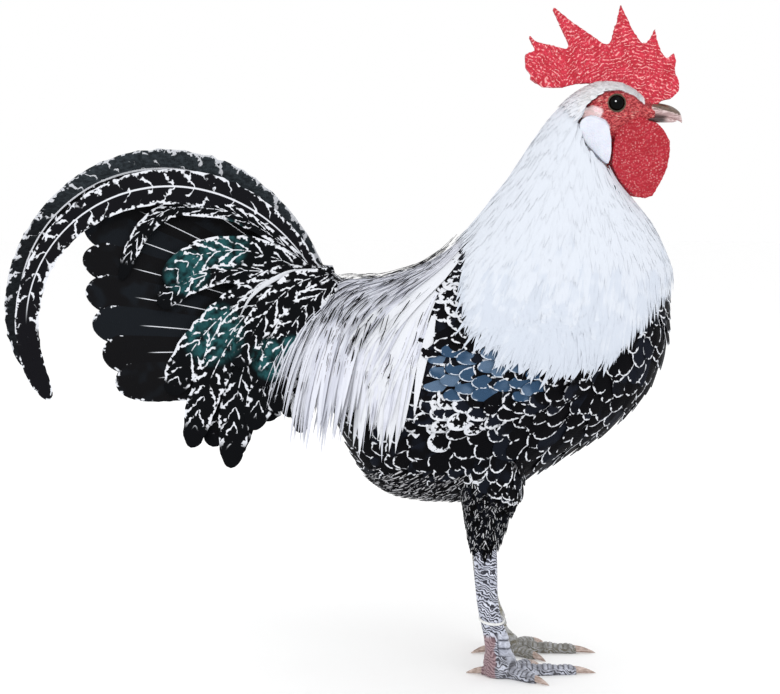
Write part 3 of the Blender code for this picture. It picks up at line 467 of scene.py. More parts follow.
class Recipe:
    """Builds the node tree of one material."""

    def __init__(self, name: str, **settings: object) -> None:
        """Start a material.

        Args:
            name: Name of the material.
            settings: Constants of the shader, by socket name with _ for a space.
        """
        self.material = bpy.data.materials.new(name)
        self.material.use_nodes = True
        self.tree = self.material.node_tree
        self.shader = self.tree.nodes["Principled BSDF"]
        for title, value in settings.items():
            self.shader.inputs[title.replace("_", " ")].default_value = value

    def node(self, kind: str, inputs: Optional[dict] = None, **settings: object) -> bpy.types.Node:
        """Add a node.

        Args:
            kind: Its type.
            inputs: Values or sockets for its inputs, by name or number.
            settings: Its properties.

        Returns:
            The node.
        """
        node = self.tree.nodes.new("ShaderNode" + kind)
        for title, value in settings.items():
            setattr(node, title, value)
        self.feed(node, inputs or {})
        return node

    def feed(self, node: bpy.types.Node, inputs: dict) -> None:
        """Give a node's inputs their values or sockets."""
        for title, value in inputs.items():
            if isinstance(value, Socket):
                self.tree.links.new(value, node.inputs[title])
            else:
                node.inputs[title].default_value = value

    def math(self, operation: str, first: object, second: object = 0.0) -> Socket:
        """Result of a sum on one or two numbers."""
        return self.node("Math", {0: first, 1: second}, operation=operation).outputs[0]

    def times(self, *values: object) -> Socket:
        """Product of numbers."""
        return reduce(lambda first, second: self.math("MULTIPLY", first, second), values)

    def plus(self, *values: object) -> Socket:
        """Sum of numbers."""
        return reduce(lambda first, second: self.math("ADD", first, second), values)

    def minus(self, first: object, second: object) -> Socket:
        """Difference of two numbers."""
        return self.math("SUBTRACT", first, second)

    def most(self, first: object, second: object) -> Socket:
        """The larger of two numbers."""
        return self.math("MAXIMUM", first, second)

    def step(self, value: object, low: object, high: object) -> Socket:
        """Smooth step of a value from 0 at low to 1 at high."""
        inputs = {"Value": value, "From Min": low, "From Max": high}
        return self.node("MapRange", inputs, interpolation_type="SMOOTHSTEP").outputs["Result"]

    def beyond(self, value: object, limit: float, blur: float = 0.1) -> Socket:
        """1 where a value is above a limit, with a soft edge."""
        return self.step(value, limit - blur, limit + blur)

    def spread(self, value: object, low: float, high: float) -> Socket:
        """A value from 0 to 1 spread from low to high."""
        return self.node("MapRange", {"Value": value, "To Min": low, "To Max": high}).outputs["Result"]

    def blend(self, share: object, first: object, second: object) -> Socket:
        """Mix of two numbers."""
        return self.node("Mix", {0: share, 2: first, 3: second}).outputs[0]

    def mix(self, share: object, first: object, second: object) -> Socket:
        """Mix of two colours."""
        inputs = {0: share, 6: opaque(first), 7: opaque(second)}
        return self.node("Mix", inputs, data_type="RGBA").outputs[2]

    def kept(self, name: str) -> Socket:
        """Number kept on the mesh."""
        return self.node("Attribute", attribute_name=name).outputs["Fac"]

    def place(self) -> Socket:
        """Place on the piece, in metres."""
        return self.node("TexCoord").outputs["Object"]

    def axes(self, place: object) -> tuple[Socket, ...]:
        """The three numbers of a place."""
        return tuple(self.node("SeparateXYZ", {0: place}).outputs)

    def gap(self, place: object, middle: object) -> Socket:
        """Distance between two places."""
        return self.node("VectorMath", {0: place, 1: middle}, operation="DISTANCE").outputs["Value"]

    def side_gap(self, place: object, x: float, z: float) -> Socket:
        """Distance of a place from x and z in mm, seen from the side."""
        inputs = {0: x * MM, 1: self.axes(place)[1], 2: z * MM}
        return self.gap(place, self.node("CombineXYZ", inputs).outputs[0])

    def vane(self) -> tuple[Socket, ...]:
        """Place across the vane, distance from the shaft as a share, and place along the vane."""
        across, along, _ = self.axes(self.node("UVMap", uv_map="Vane").outputs[0])
        return across, self.times(self.math("ABSOLUTE", self.minus(across, 0.5)), 2.0), along

    def within(self, value: object, limit: object, blur: float = 0.12) -> Socket:
        """1 where a value is below a limit, with a soft edge."""
        return self.minus(1.0, self.step(value, self.minus(limit, blur), self.plus(limit, blur)))

    def noise(self, place: object, size: float, detail: float = 2.0) -> Socket:
        """Soft noise from 0 to 1 with blots of a size in mm."""
        inputs = {"Vector": place, "Scale": 1 / (size * MM), "Detail": detail}
        return self.step(self.node("TexNoise", inputs).outputs["Fac"], 0.25, 0.75)

    def stretched(self, place: object, factors: Triple) -> Socket:
        """A place with its axes scaled."""
        return self.node("Mapping", {"Vector": place, "Scale": factors}).outputs[0]

    def cells(self, place: object, size: float, feature: str = "DISTANCE_TO_EDGE") -> Socket:
        """Distance in a cell pattern whose cells have a size in mm."""
        inputs = {"Vector": place, "Scale": 1 / (size * MM)}
        return self.node("TexVoronoi", inputs, feature=feature).outputs["Distance"]

    def colour(self, colour: object) -> None:
        """Give the shader its colour."""
        self.feed(self.shader, {"Base Color": opaque(colour)})

    def bump(self, height: Socket, depth: float) -> None:
        """Give the shader a bump of a depth in mm."""
        node = self.node("Bump", {"Height": height, "Distance": depth * MM, "Strength": 1.0})
        self.feed(self.shader, {"Normal": node.outputs[0]})


Colour = Triple

WHITE: Colour = (0.75, 0.77, 0.82)
INK: Colour = (0.0025, 0.0025, 0.003)
NIGHT: Colour = (0.006, 0.007, 0.011)


@dataclass(frozen=True)
class Plumage:
    """Finish of feathers: a ground that varies from feather to feather, with marks in white.

    Lace is the width of the light edge in mm, which grows with a vane's marking. Bars cross the
    vane every bar_gap mm, are bar_width mm wide and slant towards the tip. Shaft is the half width
    of the line along the middle as a share of the vane, and upper is the colour of the half above
    it on vanes with a low tone. Spots are x, z and radius in mm where the shade shows.
    """

    name: str
    ground: Colour = INK
    shade: Colour = NIGHT
    shaded: float = 0.5
    upper: Optional[Colour] = None
    white: Colour = WHITE
    lace: float = 0.0
    lace_gaps: float = 0.35
    spots: tuple[Triple, ...] = ()
    shaft: float = 0.0
    shaft_start: float = 0.0
    shaft_end: float = 0.95
    shaft_gaps: float = 0.0
    shaft_colour: Colour = WHITE
    bar_gap: float = 0.0
    bar_width: float = 0.5
    bar_slant: float = 1.0
    bar_gaps: float = 0.3
    bar_end: float = 1.1
    barbs: float = 1.1
    bump: float = 0.05
    rough: float = 0.5
    specular: float = 0.025

    def ground_of(self, dye: Recipe, place: object, across: object) -> Socket:
        """Colour between the marks."""
        tone = dye.kept("tone")
        if self.spots:
            shaded = 0.0
            for x, z, radius in self.spots:
                near = dye.step(dye.side_gap(place, x, z), radius * 1.15 * MM, radius * 0.75 * MM)
                shaded = dye.most(near, shaded)
            shaded = dye.times(shaded, dye.spread(dye.noise(place, 4.0), 0.0, 1.25))
        else:
            shaded = dye.plus(tone, dye.times(dye.noise(place, 9.0, 1.0), 0.5))
            shaded = dye.step(shaded, 1.1 - self.shaded, 1.4 - self.shaded)
        ground = dye.mix(shaded, self.ground, self.shade)
        if self.upper:
            streak = dye.spread(dye.noise(dye.stretched(place, (1.0, 1.0, 2.0)), 2.4, 3.0), 0.35, 1.0)
            paling = dye.spread(dye.step(dye.kept("reach"), 185, 140), 0.25, 1.0)
            above = dye.times(dye.step(across, 0.49, 0.53), streak, paling, dye.step(tone, 0.6, 0.4))
            ground = dye.mix(above, ground, self.upper)
        return ground

    def laces(self, dye: Recipe, place: object, edge: object, mark: object) -> Socket:
        """How white the edges are."""
        width = dye.times(dye.spread(dye.noise(place, 1.7), 0.15, 1.7), self.lace, dye.spread(mark, 1.0, 6.0))
        gaps = dye.beyond(dye.plus(dye.noise(place, 3.4, 1.0), mark), self.lace_gaps, 0.08)
        return dye.times(dye.within(edge, width), gaps)

    def bars(self, dye: Recipe, place: object, edge: object, off: object, along: object) -> Socket:
        """How white the slanted bars are, which join the edge in soft curves."""
        tone, reach = dye.kept("tone"), dye.kept("reach")
        soft = dye.noise(place, 4.5, 1.0)
        phase = dye.minus(dye.math("DIVIDE", reach, self.bar_gap), dye.times(off, self.bar_slant))
        phase = dye.math("FRACT", dye.plus(phase, dye.times(soft, 0.4), dye.times(tone, 9.0)))
        near = dye.times(dye.math("ABSOLUTE", dye.minus(phase, 0.5)), self.bar_gap)
        inputs = {0: near, 1: dye.most(edge, 0.3), 2: 1.1}
        near = dye.node("Math", inputs, operation="SMOOTH_MIN").outputs[0]
        width = dye.times(dye.spread(dye.noise(place, 1.7), 0.1, 1.6), self.bar_width,
                          dye.spread(off, 0.45, 1.5))
        return dye.times(dye.within(near, width), dye.beyond(soft, self.bar_gaps),
                         dye.step(along, self.bar_end, self.bar_end - 0.05))

    def shaft_line(self, dye: Recipe, place: object, off: object, along: object) -> Socket:
        """How clear the line along the middle is."""
        line = dye.times(dye.within(off, self.shaft, self.shaft * 0.25),
                         dye.step(along, self.shaft_end, self.shaft_end - 0.06),
                         dye.step(along, self.shaft_start - 0.03, self.shaft_start),
                         dye.step(dye.kept("mark"), 0.6, 0.4))
        if self.shaft_gaps:
            line = dye.times(line, dye.beyond(dye.noise(place, 2.6), self.shaft_gaps))
        return line

    def material(self) -> Material:
        """Node material of the finish."""
        dye = Recipe(self.name, Roughness=self.rough, Specular_IOR_Level=self.specular)
        place = dye.place()
        across, off, along = dye.vane()
        edge, mark = dye.kept("edge"), dye.kept("mark")
        marks = dye.step(mark, 0.9, 0.95)
        if self.lace:
            marks = dye.most(marks, self.laces(dye, place, edge, mark))
        if self.bar_gap:
            marks = dye.most(marks, self.bars(dye, place, edge, off, along))
        colour = dye.mix(marks, self.ground_of(dye, place, across), self.white)
        if self.shaft:
            colour = dye.mix(self.shaft_line(dye, place, off, along), colour, self.shaft_colour)
        dye.colour(colour)
        barb = dye.minus(dye.math("DIVIDE", dye.kept("reach"), self.barbs), dye.times(off, 3.0))
        groove = dye.math("SINE", dye.times(barb, tau))
        dye.bump(dye.plus(groove, dye.noise(place, 1.0)), self.bump)
        return dye.material


@dataclass(frozen=True)
class WingPad:
    """Low swelling of a folded wing on the flank, in mm, seen from the side."""

    front: Pair = (122, 164)
    rear: Pair = (12, 139)
    half_heights: Row = (8, 21, 26, 27, 25, 20, 13, 5)
    depth: float = 4.0

    def height_at(self, x: float, z: float) -> float:
        """How far the wing stands off the flank at a place.

        Args:
            x: Place along the bird, in mm.
            z: Height, in mm.

        Returns:
            The height in mm.
        """
        axis = (self.rear[0] - self.front[0], self.rear[1] - self.front[1])
        length = hypot(*axis)
        across, down = x - self.front[0], z - self.front[1]
        share = (across * axis[0] + down * axis[1]) / length ** 2
        if not -0.1 < share < 1.1:
            return 0.0
        off = abs(across * axis[1] - down * axis[0]) / length
        half = smooth_value(self.half_heights, share * (len(self.half_heights) - 1))
        ends = ease(-0.1, 0.06, share) * ease(1.1, 0.9, share)
        return self.depth * ease(half * 1.12, half * 0.72, off) * ends


WING = WingPad()


def outer_point(place: float, turn: float, rise: float = 0.0) -> Vector:
    """Point on the body with its folded wings, raised by some mm."""
    point = BODY.point(place, turn, -rise)
    if point.y:
        point.y += copysign(WING.height_at(point.x / MM, point.z / MM), point.y) * MM
    return point


def chart_place(place: float, turn: float) -> Pair:
    """Place on the unwrap of the skin: round the body across, and along the body up."""
    return 0.5 + turn / tau * 0.96, 0.02 + 0.96 * place / BODY_END


def turn_spread(first: float, last: float, spacing: float, place: float,
                draw: random.Random) -> list[float]:
    """Turns round the body at an even spacing on it, with a random start.

    Args:
        first: First turn in degrees.
        last: Last turn in degrees.
        spacing: Spacing in mm.
        place: Place along the body.
        draw: Random numbers.

    Returns:
        The turns in radians.
    """
    turns = np.radians(np.linspace(first, last, 80))
    points = [BODY.point(place, turn) for turn in turns]
    lengths = np.cumsum([0.0] + [(b - a).length / MM for a, b in zip(points, points[1:])])
    marks = np.arange(draw.uniform(0, spacing), lengths[-1], spacing)
    return [float(turn) for turn in np.interp(marks, lengths, turns)]


def lifted(points: Sequence[Vector], outs: Sequence[Vector], low: float, high: float,
           curve: float = 1.0) -> list[Vector]:
    """A path raised by an amount in mm that grows from its root to its tip."""
    last = len(points) - 1
    return [point + out * (low + (high - low) * (i / last) ** curve) * MM
            for i, (point, out) in enumerate(zip(points, outs))]


@dataclass(frozen=True)
class CapeForm:
    """Region that the cape covers, seen from the side, as distances from a middle by angle."""

    middle: Pair = (112, 215)
    rear: float = -52.5
    fringe: Knots = (
        (-180, 52.5), (-170, 53.5), (-160, 56.5), (-149.5, 61.5), (-140.3, 66.5), (-127.4, 67),
        (-96.3, 63.4), (-67.2, 56.7), (-40.5, 50.9), (-27.5, 52.6), (-10, 56), (0, 58),
    )

    def inside(self, point: Vector, slack: float) -> bool:
        """Whether a point lies above the fringe, moved down by a slack share."""
        x, z = point.x / MM - self.middle[0], point.z / MM - self.middle[1]
        if z > 0:
            return x > self.rear * (1 + slack)
        angle = degrees(atan2(z, x))
        return hypot(x, z) < at_knots(self.fringe, angle) * (1 + slack)


CAPE_FORM = CapeForm()

# Rear edge of an earlobe as z and x, and pale patches on the flank as x, z and radius, in mm.
LOBE_REAR: Knots = (
    (251.9, 129.1), (254.6, 125.5), (259.4, 120.5), (263.3, 117.1), (267.1, 115.4), (271, 115.1),
    (275.5, 118.4),
)
PATCHES: tuple[Triple, ...] = (
    (55, 131, 9), (48, 137, 8), (63, 128, 8), (46, 119, 8), (40, 126, 8), (50, 192, 9), (53, 182, 8),
)


def patched(point: Vector) -> float:
    """How much wider the white edges are near the pale patches on the flank, from 0 to 1."""
    x, z = point.x / MM, point.z / MM
    return max(0.6 * ease(radius, radius * 0.4, hypot(x - at_x, z - at_z)) for at_x, at_z, radius in PATCHES)


def runs_true(path: Sequence[Vector], outs: Sequence[Vector]) -> bool:
    """Whether a path neither folds back nor turns over."""
    steps = [b - a for a, b in zip(path, path[1:])]
    return (all(a.dot(b) > 0 for a, b in zip(steps, steps[1:]))
            and all(a.dot(b) > 0.3 for a, b in zip(outs, outs[1:])))


@dataclass
class BodyCoat:
    """Small laced feathers over the breast, the flanks, the belly and the back."""

    ground: Guide
    spacing: float = 7.2
    first: float = 0.35
    last: float = 12.4
    strands: int = 2200
    seed: int = SEED
    breast: Plumage = Plumage("laced_black", lace=0.56, lace_gaps=0.38, shaded=0.3,
                              ground=(0.0035, 0.0035, 0.0045), shade=(0.008, 0.01, 0.016))
    fluff: Plumage = Plumage("grey_fluff", shade=(0.02, 0.02, 0.024), shaft=0.34, shaft_end=0.9,
                             shaft_gaps=0.36, shaft_colour=(0.66, 0.66, 0.69), rough=0.8)

    def heading(self, place: float, turn: float) -> Vector:
        """Way that the feathers lie: to the tail, and down the flanks."""
        back = outer_point(max(place - 0.15, 0.0), turn) - outer_point(place + 0.05, turn)
        side = sin(abs(turn)) * 0.35
        return back.normalized() + DOWN * side

    def build_laced(self) -> None:
        """Black feathers with white edges, from the tail to the throat."""
        draw = random.Random(self.seed)
        vary = draw.uniform
        coat = Coat("coat_laced")
        vane = Vane(Outline.SCALE, rows=8, cup=0.16, thickness=0.3, bunch=1.6)
        place = self.first
        while place < self.last:
            point = BODY.point(place, pi / 2)
            spacing = self.spacing * at_knots(((60, 1.15), (120, 1.0), (160, 0.78)), point.x / MM)
            for turn in turn_spread(-179, 179, spacing, place, draw):
                root = outer_point(place + vary(-0.12, 0.12), turn + vary(-0.03, 0.03))
                if (abs(turn) < radians(38) and root.x < 0.05) or CAPE_FORM.inside(root, -0.24):
                    continue
                size = spacing * vary(0.9, 1.3)
                path, outs = self.ground.walk(root, self.heading(place, turn), size * 2.2 * MM, 6, 0.0,
                                              underside=-1.1)
                coat.add(vane, lifted(path, outs, -1.2, 1.1), outs, size * 1.5, chart_place(place, turn),
                         draw.random(), patched(path[-2]), vary(-0.1, 0.1))
            place += self.step_for(place, spacing * 0.7)
        coat.finish(self.breast, "body_plumage")

    def step_for(self, place: float, distance: float) -> float:
        """Step along the sections that moves the flank by a distance in mm."""
        for turn in (pi / 2, pi * 0.8):
            moved = (BODY.point(place + 0.1, turn) - BODY.point(place, turn)).length / MM
            if moved > 0.5:
                break
        return min(max(distance / max(moved, 0.2) * 0.1, 0.05), 0.8)

    def build_fluff(self) -> None:
        """Soft grey strands of the belly behind the thighs."""
        draw = random.Random(self.seed + 1)
        vary = draw.uniform
        coat = Coat("coat_fluff")
        vane = Vane(Outline.LANCET, rows=6, cup=0.1, thickness=0.2)
        for _ in range(self.strands):
            place, turn = vary(0.6, 6.2), vary(100, 260)
            root = outer_point(place, radians(turn))
            if root.z > 0.105 or not 0.018 < root.x < 0.075:
                continue
            heading = Vector((-1.0, 0, -0.7)) + Vector((vary(-.35, .35), vary(-.3, .3), 0))
            path, outs = self.ground.walk(root, heading, vary(8, 14) * MM, 6, 6.0, underside=-1.1)
            coat.add(vane, lifted(path, outs, -1.0, 2.0), outs, vary(2.0, 3.2),
                     chart_place(place, radians(turn) - pi), draw.random(), 0.0, vary(-.3, .3))
        coat.finish(self.fluff, "body_plumage")


def over_lobe(point: Vector, inset: float = 0.5) -> bool:
    """Whether a point lies over an earlobe, seen from the side, by more than an inset in mm."""
    x, z = point.x / MM, point.z / MM
    return 251.5 < z < 275.5 and x > at_knots(LOBE_REAR, z) + inset


@dataclass
class Cape:
    """White hackles from the head down to a fringe over the shoulders.

    A hackle has so many steps. It is cut off where it leaves the cape's region, and left out where
    fewer than the least steps remain or where it strays further to a side than the reach in mm.
    """

    over: Guide
    seed: int = SEED + 10
    first: float = 5.2
    last: float = 18.7
    steps: int = 16
    least: int = 4
    reach: float = 55
    # The cape's shade colour goes on its lower hackles as painted shade.
    white: Plumage = Plumage("cape_white", ground=(0.69, 0.73, 0.8), shade=(0.62, 0.668, 0.752), shaded=0.3,
                             rough=0.6, bump=0.01)

    def build(self) -> None:
        """All the hackles, from the fringe up to the head."""
        draw = random.Random(self.seed)
        vary = draw.uniform
        coat = Coat("coat_cape", soft=True, lean=0.06)
        vane = Vane(Outline.LANCET, rows=8, cup=0.04, thickness=0.16)
        place = self.first
        while place < self.last:
            spacing = at_knots(((8, 2.4), (11, 2.2), (15, 1.6), (18, 1.1)), place)
            for turn in turn_spread(-180, 180, spacing, place, draw):
                along = place + vary(-0.2, 0.2)
                if not self.grows(along, turn):
                    continue
                root = outer_point(along, turn, 2.0)
                if not CAPE_FORM.inside(root, -0.08):
                    continue
                heading = outer_point(max(along - 0.2, 0), turn, 2.0) - root
                longest = at_knots(((8, 46), (11, 42), (15, 30), (18, 12)), along) * vary(0.8, 1.15)
                pull = at_knots(((8, 18), (11, 12), (14, 5), (18, 2)), along)
                path, outs = self.over.walk(root, heading + DOWN * heading.length * 0.25,
                                            longest * MM, self.steps, pull, underside=-0.9)
                slack = draw.gauss(0.0, 0.035)
                count = self.first_of(path, lambda spot: not CAPE_FORM.inside(spot, slack))
                meets = self.first_of(path, over_lobe, self.least)
                if min(count, meets) < self.least or (count < self.steps and draw.random() < 0.25):
                    continue
                path, outs = path[:min(count, meets) + 1], outs[:min(count, meets) + 1]
                broad = count == self.steps and draw.random() < 0.75
                rise = vary(0.15, 0.4) if count < self.steps else vary(0.0, 0.1)
                if not runs_true(path, outs) or max(abs(spot.y) for spot in path) > self.reach * MM:
                    continue
                sink = -2.4 if over_lobe(root, -3.0) else -0.5
                # Tone grows towards the bottom, so the lower hackles take the darker shade colour: painted
                # shade.
                tone = 0.25 + 0.75 * ease(222, 154, path[-1].z / MM) + vary(-0.16, 0.16)
                width = at_knots(((8, 3.2), (12, 3.2), (15, 2.6), (18, 1.6)), along) * vary(0.6, 1.2)
                coat.add(vane, lifted(path, outs, sink, rise, 0.4 if sink < -1 else 1.0), outs,
                         width * (2.2 if broad else 1.0), chart_place(along, turn), tone, 0.0,
                         vary(-0.05, 0.05) * (not broad))
            place += at_knots(((5, 0.22), (8, 0.34), (12, 0.4), (18, 0.28)), place)
        coat.finish(self.white, "cape_plumage")

    def first_of(self, path: Sequence[Vector], test: Callable[[Vector], bool], start: int = 0) -> int:
        """Number of the first point from a start on that passes a test, or else of the last point."""
        return next((i for i, spot in enumerate(path) if i >= start and test(spot)), self.steps)

    def grows(self, place: float, turn: float) -> bool:
        """Whether hackles grow there, which leaves the face and the throat bare."""
        point = BODY.point(place, turn)
        x, z = point.x / MM, point.z / MM
        if z < 236:
            return True
        if z < 276:
            return x < at_knots(FACE_REAR, z) + 0.9 and not over_lobe(point, 2.0)
        return x < 118 and not (z > 285 and abs(point.y) < 3 * MM)


@dataclass
class Saddle:
    """Long pointed hackles that hang from the back over the rump and the wings' ends.

    Each row holds its turn in degrees, its count of hackles, their lengths at the rear and in front
    and their width in mm, and its last place along the body.
    """

    over: Guide
    seed: int = SEED + 20
    steps: int = 16
    first: float = 0.8
    rows: Table = (
        (6, 105, 76, 50, 1.7, 6.6), (14, 110, 80, 52, 1.8, 6.4), (22, 105, 82, 58, 2.0, 5.6),
        (31, 85, 82, 68, 2.6, 4.5), (40, 64, 78, 72, 3.4, 4.3), (50, 46, 70, 72, 3.8, 4.1),
    )
    white: Plumage = Plumage("saddle_white", ground=(0.74, 0.76, 0.84), shade=(0.64, 0.66, 0.75), shaded=0.3,
                             shaft=0.1, shaft_end=0.6, shaft_gaps=0.4, shaft_colour=(0.3, 0.29, 0.32),
                             rough=0.5, bump=0.02)
    fleck: Plumage = Plumage("saddle_flecks", ground=(0.012, 0.011, 0.014), shade=(0.05, 0.045, 0.05))

    def build(self) -> None:
        """All the hackles of both sides."""
        draw = random.Random(self.seed)
        vary = draw.uniform
        coat = Coat("coat_saddle", soft=True, lean=0.25)
        flecks = Coat("coat_saddle_flecks")
        vane = Vane(Outline.LANCET, rows=12, cup=0.14, thickness=0.3)
        short = Vane(Outline.LANCET, rows=5, cup=0.1, thickness=0.2)
        for side in SIDES.values():
            for turn, count, rear, front, width, last in self.rows:
                for i in range(count):
                    share = (i + draw.random()) / count
                    place = self.first + (last - self.first) * share
                    at = side * radians(turn + vary(-4.5, 4.5))
                    root = outer_point(place, at, 2.6)
                    angle = at_knots(((6, 158), (31, 128), (50, 108)), turn) - 8 * share + vary(-4, 4)
                    angle = radians(angle)
                    heading = Vector((cos(angle), side * 0.25, -sin(angle)))
                    size = (rear + (front - rear) * share) * draw.choice((0.72, 0.86, 1.0))
                    size *= vary(0.93, 1.05)
                    pull = at_knots(((0, 30), (0.35, 18), (0.7, 10)), share)
                    free = at_knots(((0, 0.5), (0.3, 0.3), (0.6, -0.1), (1, -0.2)), share)
                    path, outs = self.over.walk(root, heading, size * MM, self.steps, pull, underside=free)
                    broad = turn > 20 and draw.random() < ease(0.25, 0.7, share) * 0.7
                    rise = vary(0.4, 1.0) if broad else vary(0.6, 2.0)
                    coat.add(vane, lifted(path, outs, -1.2, rise), outs,
                             vary(4.5, 6.5) if broad else width * vary(0.7, 1.25),
                             chart_place(place, at), draw.random(), 0.97 if broad else 0.0,
                             vary(-0.25, 0.25) * (0.4 if broad else 1.0))
                    for _ in range(draw.random() < (0.0 if broad else 0.5)):
                        start, steps = int(draw.triangular(0, 11, 3)), draw.randint(1, 3)
                        part, ways = path[start:start + steps + 1], outs[start:start + steps + 1]
                        flecks.add(short, lifted(part, ways, 2.1, 2.2), ways, vary(0.35, 0.8),
                                   chart_place(place, at), 0.0, 0.0, vary(-0.3, 0.3))
        coat.finish(self.white, "saddle_plumage", "saddle")
        flecks.finish(self.fleck, "saddle_plumage")


@dataclass(frozen=True)
class Plume:
    """A tail plume: its root in mm, how its spine bends in a plane turned outwards, and its size."""

    root: Triple
    rise: float
    turn: float
    bow: float
    length: float
    width: float
    splay: float
    roll: float = 12.0

    def spine(self, side: int, steps: int = 60) -> Track:
        """Path of the shaft.

        Args:
            side: -1 for the right and 1 for the left.
            steps: Count of even steps along it.

        Returns:
            The points and the ways out at each.
        """
        splay, roll = radians(self.splay), radians(self.roll)
        away = Vector((-cos(splay), side * sin(splay), 0))
        outward = Vector((sin(splay), side * cos(splay), 0))
        path = [Vector((self.root[0], side * self.root[1], self.root[2])) * MM]
        outs = []
        for i in range(steps + 1):
            angle = radians(self.rise - self.turn * ((i + 0.5) / steps) ** self.bow)
            crown = Vector((0, 0, cos(angle))) - away * sin(angle)
            outs.append(outward * cos(roll) + crown * sin(roll))
            along = away * cos(angle) + Vector((0, 0, sin(angle)))
            path.append(path[-1] + along * (self.length * MM / steps))
        return path[:steps + 1], outs


@dataclass(frozen=True)
class Covert:
    """A tail covert: its places across the bird, its width, and knots of its shaft as x and z, in mm."""

    inner: float
    outer: float
    width: float
    knots: Knots

    def spine(self, side: int, steps: int = 40) -> Track:
        """Path of the shaft.

        Args:
            side: -1 for the right and 1 for the left.
            steps: Count of even steps along it.

        Returns:
            The points and the ways out at each.
        """
        path = []
        for i in range(steps + 1):
            x, z = section(self.knots, (len(self.knots) - 1) * i / steps)
            out = self.inner + (self.outer - self.inner) * (i / steps) ** 0.7
            path.append(Vector((x, side * out, z)) * MM)
        outs = []
        for i in range(steps + 1):
            along = (path[min(i + 1, steps)] - path[max(i - 1, 0)]).normalized()
            outs.append((Vector((0, side, 0)) + Vector((along.z, 0, -along.x)) * 0.15).normalized())
        return path, outs


UPPER_COVERTS: tuple[Covert, ...] = (
    Covert(9, 12, 8.5, (
        (-21.3, 206), (-40, 220), (-59.6, 229.6), (-80.2, 231), (-95, 223.7), (-104, 210), (-109.6, 195))),
    Covert(10, 13.5, 15, (
        (-15.4, 197.7), (-33.6, 206), (-51.8, 210), (-68, 208), (-80.4, 201), (-88.3, 193.7))),
    Covert(10.5, 14.5, 12.5, (
        (-15.4, 194.3), (-35, 199.2), (-54.7, 200), (-72.4, 196), (-84.3, 189), (-90.3, 182))),
    Covert(12, 16.5, 13, (
        (-13.3, 199.3), (-26, 198.3), (-37, 193.4), (-45.8, 185.5), (-52.8, 174.7), (-59.7, 162.8),
        (-66.7, 152))),
)
HANGING_COVERTS: tuple[Covert, ...] = (
    Covert(11, 17, 17, (
        (-11.2, 192), (-26.7, 186.5), (-40.6, 176), (-51, 162), (-58, 144.5), (-62.6, 126), (-64.5, 113))),
    Covert(12, 18, 17, (
        (-9.2, 189), (-23, 181.8), (-34, 170), (-41.7, 155), (-46.5, 138), (-49, 126))),
    Covert(13, 19, 16, (
        (-7.8, 185), (-18.8, 176.5), (-27, 164.4), (-33, 149), (-37, 134.6), (-39, 126))),
    Covert(14, 20, 15, (
        (-6.3, 180.5), (-14, 170.2), (-19.6, 156.6), (-24, 141.3), (-27, 128))),
    Covert(12, 18, 16, (
        (-14.2, 196.5), (-32, 193.5), (-48.6, 185.7), (-63.4, 174), (-74.3, 161), (-81.3, 148),
        (-84.4, 139))),
    Covert(13.5, 19.5, 15, (
        (-10.3, 197.5), (-26, 193.6), (-41.7, 183.8), (-54.5, 170), (-63.5, 153), (-68.5, 136))),
    Covert(14.5, 20.5, 16, (
        (-12.2, 193.6), (-28.4, 188.7), (-43.6, 179), (-55.5, 165), (-64.4, 148.4), (-71, 130.6),
        (-75, 113))),
    Covert(15.5, 21.5, 16, (
        (-10.2, 190.7), (-25, 184.4), (-37.7, 173), (-46.6, 158.8), (-51.6, 140.6), (-54.2, 121),
        (-55.3, 103))),
    Covert(16.5, 23, 15, (
        (-8.3, 187), (-21, 179), (-30.3, 167.3), (-36.8, 151.6), (-41.3, 135.8), (-44.3, 122))),
    Covert(17.5, 24, 14, (
        (-7.3, 183), (-16.6, 174), (-23.5, 161.5), (-29, 146.7), (-33, 131.4))),
    Covert(18.5, 25, 12, (
        (-5.3, 178), (-11.2, 166.4), (-15.7, 151.7), (-19.2, 136), (-21.2, 121))),
    Covert(16, 23.5, 14, (
        (-5.3, 198.7), (-19, 195.3), (-30.7, 187.5), (-40.5, 175.2), (-48.4, 161.5), (-52.4, 153.6))),
    Covert(18, 25, 14, (
        (-3.3, 194), (-14, 187), (-23.4, 175.3), (-31.7, 160.6), (-39.6, 144))),
)
BOLD_SHAFT: Knots = (
    (-14.1, 200.5), (-25.8, 199.1), (-36.6, 194.2), (-45.5, 186.8), (-51.4, 176),
)


